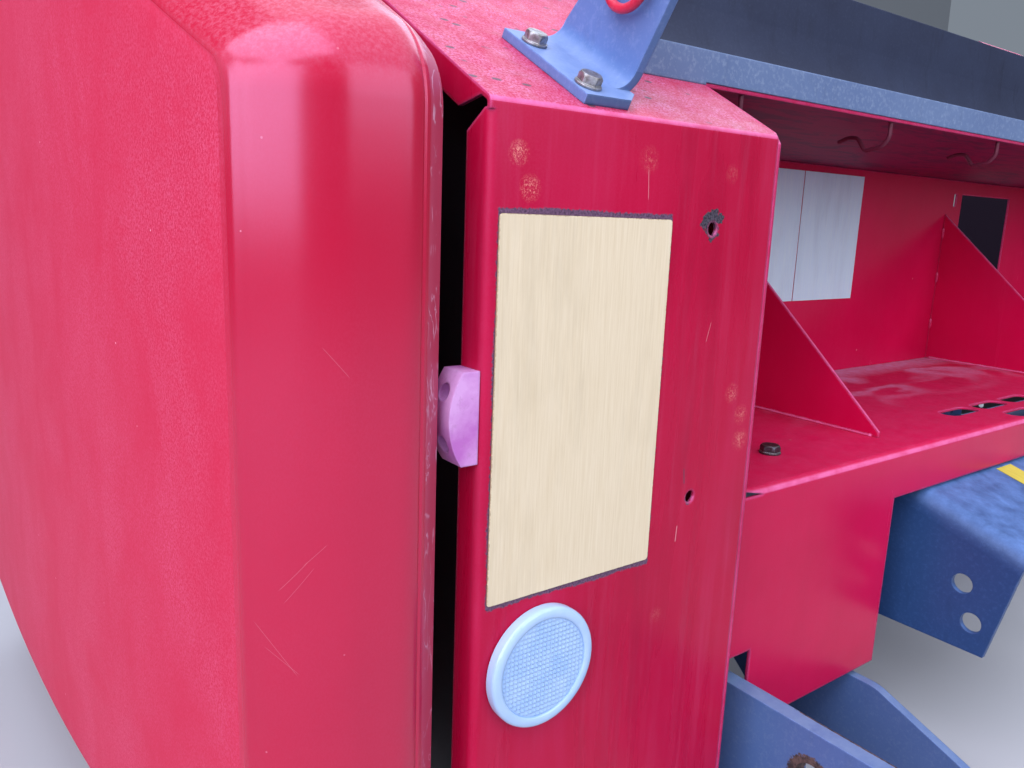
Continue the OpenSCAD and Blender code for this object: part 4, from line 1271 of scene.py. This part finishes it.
@dataclass
class CornerHousing:
    """One corner housing with its sign, reflector, buffer, roll bracket and lock pin."""

    side: Side
    lift: float = 0.2
    reflector_at: tuple[float, float] = (49.0, -59.0)
    reflector_r: float = 40.0
    reflector_t: float = 8.0
    reflector_rim: float = 7.5
    prism_pitch: float = 3.1
    prism_h: float = 0.75
    sign_t: float = 0.8
    sign_corner: float = 2.5
    pin_at: Place = (113.0, 52.0, 78.2)
    pin_ring_r: float = 17.0
    pin_ring_shift: float = 8.0
    pin_wire_r: float = 3.0

    def on_face(self, points: np.ndarray, at: tuple[float, float]) -> np.ndarray:
        """Stands a piece drawn flat on the housing's front face.

        Args:
            points: Points whose third coordinate is height off the face, in millimetres.
            at: Place of the drawing's origin on the face.

        Returns:
            Points in layout millimetres.
        """
        x, z, h = np.moveaxis(points, -1, 0)
        return np.stack([x + at[0], -h - self.lift, z + at[1]], axis=-1)

    def reflector(self) -> None:
        """A turned ring round a field of small prisms.

        The ring is a lathed profile. The field is a disc of rings and spokes whose height is
        the product of two crossed waves, raised to make separate pyramids.
        """
        r, t, at = self.reflector_r, self.reflector_t, self.reflector_at
        inner = r - self.reflector_rim
        profile = [(r - 1.5, 0.0), (r, 0.6), (r, t - 2.2), (r - 0.6, t - 0.9), (r - 2.0, t),
                   (inner + 1.6, t), (inner + 0.5, t - 0.4), (inner, t - 1.2)]
        spokes = round_angles(260)[None, :]
        rings = np.linspace(inner, 0.0, 74)[:, None]
        a, b = rings * np.cos(spokes), rings * np.sin(spokes)
        wave = np.cos(np.pi * (a + b) / self.prism_pitch) * np.cos(np.pi * (a - b) / self.prism_pitch)
        raised = np.clip(wave, 0, 1) ** 0.7 * np.clip((inner - rings) / 1.2, 0, 1)
        prisms = np.stack([a, b, t - 1.2 + self.prism_h * raised], axis=-1)
        surface = Surface()
        surface.add_grid(self.on_face(lathe(profile, 96), at), self.side, close_cols=True, cap_first=True)
        surface.add_grid(self.on_face(prisms, at), self.side, close_cols=True)
        lens = LensPlastic(f"lens_plastic_{self.side.word}", at, inner)
        obj = surface.build(f"reflector_lens_{self.side.word}", lens, sharp=60)
        mount(obj, "white_reflector", f"reflector_{self.side.word}")

    def sign(self) -> None:
        """A blank foil with rounded corners and a low rim, as shrinking rings of one outline."""
        node = f"sign_plate_{self.side.word}"
        half, corner, thick = np.array(SIGN_SIZE) / 2, self.sign_corner, self.sign_t
        turn = round_angles(48)
        around = np.stack([np.cos(turn), np.sin(turn)], axis=-1)
        quarter = np.sign(np.stack([np.cos(turn + 1e-4), np.sin(turn + 1e-4)], axis=-1))
        outline = quarter * (half - corner) + corner * around
        levels = np.array([[0.0, 0.0], [0.0, thick - 0.2], [0.25, thick], [6.0, thick - 0.05]])
        flat = outline[None] * (1 - levels[:, 0, None, None] / half)
        heights = np.broadcast_to(levels[:, 1, None, None], flat.shape[:2] + (1,))
        surface = Surface()
        surface.add_rod(self.on_face(np.concatenate([flat, heights], axis=-1), SIGN_CENTRE), self.side)
        foil = SignFoil(
            f"cream_foil_{self.side.word}", *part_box(node), (0.86, 0.73, 0.52), (0.76, 0.62, 0.40),
            (0.42, 0.30, 0.18))
        mount(surface.build(f"sign_foil_{self.side.word}", foil, smooth=False), "cream_sign", node)

    def lock_pin(self) -> None:
        """The lock pin with a collar and its round wire ring.

        The pin is a lathed profile laid along x, and the ring is a circle carried round a
        larger circle.
        """
        x, u, w = self.pin_at
        profile = [(0.0, -13.9), (3.6, -13.9), (5.0, -12.6), (5.0, -4.4), (8.6, -4.4), (9.0, -4.0),
                   (9.0, -0.6), (8.6, -0.2), (5.0, -0.2), (5.0, 12.0), (3.8, 13.9), (0.0, 13.9)]
        turned = lathe(profile, 32)
        pin = np.stack([x + turned[..., 2], u + turned[..., 0], w + turned[..., 1]], axis=-1)
        turn, around = round_angles(72)[:, None], round_angles(14)[None, :]
        reach = self.pin_ring_r + self.pin_wire_r * np.cos(around)
        ring_x = x - self.pin_ring_shift + self.pin_wire_r * np.sin(around) + 0 * turn
        ring_w = w - self.pin_ring_r + reach * np.cos(turn)
        ring = np.stack([ring_x, u + reach * np.sin(turn), ring_w], axis=-1)
        surface = Surface()
        surface.add_grid(on_roof(pin), self.side, close_cols=True)
        surface.add_grid(on_roof(ring), self.side, close_rows=True, close_cols=True)
        mount(surface.build(f"ring_pin_{self.side.word}", RED_PIN), "red_pin", f"lock_pin_{self.side.word}")

    def build(self) -> None:
        """Dresses the housing and builds what is on it."""
        word = self.side.word
        dress(RED_SHEET, f"housing_{word}")
        dress(BOX_SHEET, f"inner_wall_{word}")
        # Near-black painted shade on the side plates, hinge brackets and straps.
        dress(GAP_SHADE_PAINT, f"side_plate_{word}", f"hinge_brackets_{word}", f"cover_straps_{word}")
        dress(BRACKET_PAINT, f"roll_bracket_{word}")
        dress(PINK_BLOCK, f"buffer_{word}")
        self.reflector()
        self.sign()
        self.lock_pin()


@dataclass
class NetBox:
    """Shelf, back wall, gussets, hooks, rail and tray between the housings."""

    middle_x: float = 1180.0
    rail_y: float = 72.0
    rail_z: float = 321.0
    wall_h: float = 304.0
    hook_x: float = 293.0
    hooks_a_side: int = 4
    hook_y: float = 77.0
    hook_drop: float = 3.4
    hook_bend: float = 3.4
    wire_r: float = 2.0
    gusset_x: float = 567.0
    half_gusset: float = 1.5
    bead_run: tuple[float, float] = (84.0, 334.0)
    bead_shifts: tuple[float, float] = (-0.6, 3.6)
    tack_z: tuple[float, float, float] = (60.0, 140.0, 215.0)
    paper: tuple[float, float] = (148.0, 182.0)
    papers_at: tuple[float, float] = (622.0, 112.0)
    paper_gap: float = 2.0

    def hooks(self) -> None:
        """Bent wire hooks, a round profile carried along a path with rounded corners."""
        fall = (self.rail_z - self.wall_h) / (WALL_Y - self.rail_y)
        top = self.rail_z - (self.hook_y + self.wire_r - self.rail_y) * fall - self.hook_drop
        shape = np.array([
            [0, 0], [0, -13.5], [7.0, -21.8], [23.8, -25.0], [32.4, -12.5], [42.0, -11.5], [53.0, -15.5]])
        surface = Surface()
        for x in np.linspace(self.hook_x, 2 * self.middle_x - self.hook_x, 2 * self.hooks_a_side + 1):
            corners = np.column_stack([np.full(len(shape), x), self.hook_y + shape[:, 0], top + shape[:, 1]])
            surface.add_rod(tube(rounded_path(corners, self.hook_bend), self.wire_r, 12))
        mount(surface.build("net_box_hooks", HOOK_PAINT), "hook_wire", "wire_hooks")

    def welds(self) -> None:
        """Weld beads along the gussets' feet and tacks on their rear edges.

        A bead is a tube along the seam whose radius ripples with its length, and a tack is
        one whose radius swells as half an ellipse.
        """
        run = np.linspace(*self.bead_run, 120)
        ripple = 1.9 + 0.45 * np.sin(run * 1.4) + 0.2 * np.sin(run * 0.31)
        rise = np.linspace(-9.0, 9.0, 14)
        swell = 2.6 * np.sqrt(np.clip(1 - (rise / 9.2) ** 2, 0.02, 1))
        surface = Surface()
        middle = self.middle_x - self.half_gusset
        for side, x in ((Side.LEFT, self.gusset_x), (Side.RIGHT, self.gusset_x), (Side.LEFT, middle)):
            for shift in self.bead_shifts:
                path = np.stack([np.full_like(run, x + shift), run, np.full_like(run, 0.9)], axis=-1)
                surface.add_rod(tube(path, ripple, 8), side)
            for z in self.tack_z:
                tack = [np.full_like(rise, x - 0.4), np.full_like(rise, WALL_Y - 1.4), z + rise]
                surface.add_rod(tube(np.stack(tack, axis=-1), swell, 8), side)
        mount(surface.build("gusset_welds", BOX_SHEET), "red_sheet")

    def papers(self) -> None:
        """Two blank foils on the back wall, whose faces wave by a product of sines."""
        (w, h), (first_x, z0) = self.paper, self.papers_at
        u, v = np.meshgrid(np.linspace(0, 1, 24), np.linspace(0, 1, 28), indexing="ij")
        surface = Surface()
        for k in range(2):
            x, z = first_x + k * (w + self.paper_gap) + u * w, z0 + v * h
            lift = 0.25 + 0.2 * np.sin(6 * u + 3 * v + k) * np.sin(5 * v + k)
            front = np.stack([x, WALL_Y - 0.7 - lift, z], axis=-1)
            surface.add_foil(front, np.stack([x, np.full_like(u, WALL_Y - 0.3), z], axis=-1))
        foil = SignFoil(
            "paper_foil", *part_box("info_sheets"), (0.70, 0.92, 1.0), (0.62, 0.84, 1.0), (0.56, 0.56, 0.68),
            0.0006)
        mount(surface.build("blank_papers", foil), "white_sheet", "info_sheets")

    def build(self) -> None:
        """Dresses the box's sheets and builds its small pieces."""
        dress(BOX_SHEET, "shelf", "back_wall", "recess_roof", "gusset_left", "gusset_middle", "gusset_right")
        dress(RAIL_PAINT, "front_rail")
        dress(TRAY_SHADE_PAINT, "net_tray")
        self.hooks()
        self.welds()
        self.papers()


@dataclass(frozen=True)
class Bolt:
    """A hexagon bolt head on its washer, sizes in millimetres."""

    flats: float
    head_h: float
    washer_d: float
    washer_t: float

    def head(self) -> np.ndarray:
        """A hexagon head whose top edge is cut round.

        The radius is that of a hexagon at each angle, drawn in to a circle at the top.

        Returns:
            Rings of points from the underside to the top.
        """
        turn = round_angles(72)
        half = self.flats / 2
        hexagon = half / np.cos(np.mod(turn, np.pi / 3) - np.pi / 6)
        reach = [np.minimum(hexagon, half * 1.155)] * 2 + [
            np.minimum(hexagon, half * (0.97 + 0.13 * share)) for share in (0.6, 0.0)]
        levels = [self.washer_t + self.head_h * level for level in (0.0, 0.72, 0.86, 1.0)]
        rings = [
            np.stack([r * np.cos(turn), r * np.sin(turn), np.full_like(turn, z)], axis=-1)
            for r, z in zip(reach, levels)]
        dish = rings[-1] * np.array([0.78, 0.78, 1.0])
        middle = np.full_like(turn, self.washer_t + self.head_h * 0.97)
        return np.stack([*rings, dish, np.stack([0 * turn, 0 * turn, middle], axis=-1)])

    def grids(self) -> list[np.ndarray]:
        """Washer and head, standing on the bolt's own origin.

        Returns:
            Two grids of rings.
        """
        r, t, edge, bore = self.washer_d / 2, self.washer_t, 0.3, 0.1
        washer = lathe([(bore, 0.0), (r - edge, 0.0), (r, edge), (r, t - edge), (r - edge, t), (bore, t)], 48)
        return [washer, self.head()]


@dataclass
class Fasteners:
    """Hexagon bolts with washers on the roll brackets and through the shelf."""

    small: Bolt = Bolt(13.0, 5.3, 17.0, 1.6)
    large: Bolt = Bolt(17.0, 6.4, 21.0, 2.0)
    bracket_x: float = 78.5
    bracket_u: tuple[float, float] = (21.0, 82.0)
    bracket_t: float = 6.4
    first_turn: float = 0.35
    shelf_at: Place = (412.0, 100.0, 0.0)
    head_lift: Place = (0.0, 0.0, 0.2)
    shank: tuple[tuple[float, float], ...] = (
        (0.1, -17.0), (4.4, -17.0), (5.0, -16.2), (5.0, 0.4), (0.1, 0.4))

    def on_brackets(self) -> None:
        """The bracket bolts on both roofs, each head turned by its own angle."""
        surface = Surface()
        for side in Side:
            for k, u in enumerate(self.bracket_u):
                cos, sin = math.cos(self.first_turn + k), math.sin(self.first_turn + k)
                for grid in self.small.grids():
                    a, b, h = np.moveaxis(grid, -1, 0)
                    laid = [a * cos - b * sin + self.bracket_x, a * sin + b * cos + u, h + self.bracket_t]
                    surface.add_grid(on_roof(np.stack(laid, axis=-1)), side, close_cols=True)
        mount(surface.build("bracket_bolt_heads", ZINC, sharp=28), "zinc", "bracket_bolts")

    def on_shelf(self) -> None:
        """The bolts through the shelf floor, with their shanks below it."""
        surface = Surface()
        at = np.array(self.shelf_at)
        for side in Side:
            for grid in self.large.grids():
                surface.add_grid(grid + (at + self.head_lift), side, close_cols=True)
            surface.add_grid(lathe(self.shank, 32) + at, side, close_cols=True)
        mount(surface.build("shelf_bolt_heads", DARK_BOLT, sharp=28), "zinc", "shelf_bolts")

    def build(self) -> None:
        """Builds all bolts."""
        self.on_brackets()
        self.on_shelf()


@dataclass
class FrontFrame:
    """Cross beam, chassis flange, lugs and box brackets."""

    label_at: tuple[float, float] = (766.0, -34.0)
    label_size: tuple[float, float] = (38.0, 70.0)
    nose: tuple[float, float] = (-64.0, -86.0)
    slope: float = math.radians(17.5)

    def label(self) -> None:
        """A blank yellow foil on the left box bracket's top, laid along its slope."""
        (x0, y0), (width, length) = self.label_at, self.label_size
        u, v = np.meshgrid(np.linspace(0, 1, 10), np.linspace(0, 1, 16), indexing="ij")
        x, y = x0 + u * width, y0 + v * length
        z = self.nose[1] + (y - self.nose[0]) * math.tan(self.slope)
        faces = [
            np.stack([x, y - h * math.sin(self.slope), z + h * math.cos(self.slope)], axis=-1)
            for h in (0.5 + 0.12 * np.sin(7 * u) * np.sin(5 * v), 0.2)]
        surface = Surface()
        surface.add_foil(*faces)
        foil = SignFoil(
            "yellow_foil", LAYOUT.spot(x0, 0, -400), LAYOUT.spot(x0 + width, 0, 400), (0.72, 0.62, 0.10),
            (0.62, 0.52, 0.07), (0.30, 0.25, 0.05), 0.001)
        mount(surface.build("blank_label", foil), "cream_sign")

    def build(self) -> None:
        """Dresses the frame's nodes and lays the label."""
        dress(GREY_PAINT, "cross_beam", "chassis_flange")
        dress(BOX_PAINT, "box_brackets")
        dress(LUG_PAINT, "lug_plates", "rounded_lugs")
        self.label()


@dataclass(frozen=True)
class Lamp:
    """A soft rectangular lamp: its place, its aim and its sides in metres, and its power in watts."""

    name: str
    at: Place
    aim: Place
    sides: tuple[float, float]
    power: float
    colour: Colour

    def hang(self) -> None:
        """Puts the lamp in the scene, unseen by the camera itself."""
        data = bpy.data.lights.new(self.name, "AREA")
        data.shape = "RECTANGLE"
        data.size, data.size_y = self.sides
        data.energy = self.power
        data.color = self.colour
        obj = bpy.data.objects.new(self.name, data)
        obj.location = self.at
        obj.rotation_euler = (Vector(self.aim) - Vector(self.at)).to_track_quat("-Z", "Y").to_euler()
        obj.visible_camera = False
        bpy.context.scene.collection.objects.link(obj)


LAMPS = (
    Lamp("left_glow", (-4.15, -2.20, 1.88), (-1.29, -0.36, 1.88), (3.3, 3.0), 140.0, (0.84, 0.84, 1.0)),
    Lamp("left_sky", (-4.4, 0.2, 2.2), (-1.2, 0.2, 2.2), (3.6, 3.0), 26.0, (0.84, 0.88, 1.0)),
    Lamp("roof_glow", (-3.0, -1.1, 3.6), (-3.0, -1.1, 0.0), (2.8, 3.4), 128.0, (0.82, 0.83, 1.0)),
    Lamp("high_sky", (0.9, -1.0, 3.6), (0.9, -1.0, 0.0), (5.0, 6.0), 118.0, (0.84, 0.88, 1.0)),
    Lamp("front_sky", (0.5, -4.0, 2.2), (0.5, -0.1, 1.9), (3.6, 2.8), 86.0, (0.88, 0.90, 1.0)),
    Lamp("back_sky", (1.84, 1.52, 2.6), (-0.8, -0.3, 0.4), (3.0, 2.5), 56.0, (0.74, 0.81, 1.0)))


@dataclass(frozen=True)
class Studio:
    """Camera at the photograph's place, pale floor and soft light."""

    focal_px: float = 813.65
    image_px: float = 1024.0
    yaw: float = 0.6401
    pitch: float = 0.2045
    roll: float = -0.038
    eye_mm: Place = (-249.9, -363.2, 218.1)
    floor_gap: float = 0.002
    floor_half: float = 11.0
    sky: Colour = (0.74, 0.85, 1.0)
    sky_strength: float = 0.28

    def camera(self) -> None:
        """Sets the camera by the directions fitted to the photograph's edges.

        The forward direction is the machine's rearward one turned right by the yaw and down
        by the pitch, and the picture is then turned by the roll.
        """
        cy, sy, cp, sp = math.cos(self.yaw), math.sin(self.yaw), math.cos(self.pitch), math.sin(self.pitch)
        forward = Vector((sy * cp, cy * cp, -sp))
        level = Vector((cy, -sy, 0.0))
        down = forward.cross(level)
        right = level * math.cos(self.roll) + down * math.sin(self.roll)
        down = down * math.cos(self.roll) - level * math.sin(self.roll)
        data = bpy.data.cameras.new("camera")
        data.sensor_width = 36.0
        data.lens = self.focal_px / self.image_px * data.sensor_width
        data.clip_start, data.clip_end = 0.02, 60.0
        cam = bpy.data.objects.new("camera", data)
        turn = Matrix((right, -down, -forward)).transposed().to_4x4()
        cam.matrix_world = Matrix.Translation(LAYOUT.spot(*self.eye_mm)) @ turn
        bpy.context.scene.collection.objects.link(cam)
        bpy.context.scene.camera = cam

    def floor(self) -> None:
        """A pale sheet under the section that rolls up far behind it."""
        along = np.array([[-9.0, 0.0], [4.0, 0.0], [4.8, 0.12], [5.4, 0.5], [5.7, 1.1], [5.8, 7.0]])
        x = np.array([[-self.floor_half, self.floor_half]])
        y, z = along[:, :1], along[:, 1:] + CAD_BOX[0].z - self.floor_gap
        corner = np.array([LAYOUT.edge_x, LAYOUT.face_y, LAYOUT.shelf_z])
        surface = Surface()
        surface.add_grid((np.stack(np.broadcast_arrays(x, y, z), axis=-1) - corner) / MM)
        obj = surface.build("studio_floor", FloorPaint("studio_floor"), sharp=80)

    def light(self) -> None:
        """Pale surroundings and soft lamps that stand for an open sky."""
        world = bpy.data.worlds.new("studio_world")
        bpy.context.scene.world = world
        world.use_nodes = True
        inputs = world.node_tree.nodes["Background"].inputs
        inputs["Color"].default_value = (*self.sky, 1.0)
        inputs["Strength"].default_value = self.sky_strength
        for lamp in LAMPS:
            lamp.hang()

    def build(self) -> None:
        """Builds camera, floor and light."""
        self.camera()
        self.floor()
        self.light()
        bpy.context.scene.view_settings.view_transform = "Standard"


def main() -> None:
    """Builds the studio and every sub-assembly in order."""
    logging.basicConfig(level=logging.INFO, format="%(name)s: %(message)s")
    Studio().build()
    for side in Side:
        SideCover(side).build()
        CornerHousing(side).build()
    NetBox().build()
    FrontFrame().build()
    Fasteners().build()


if __name__ == "__main__":
    main()
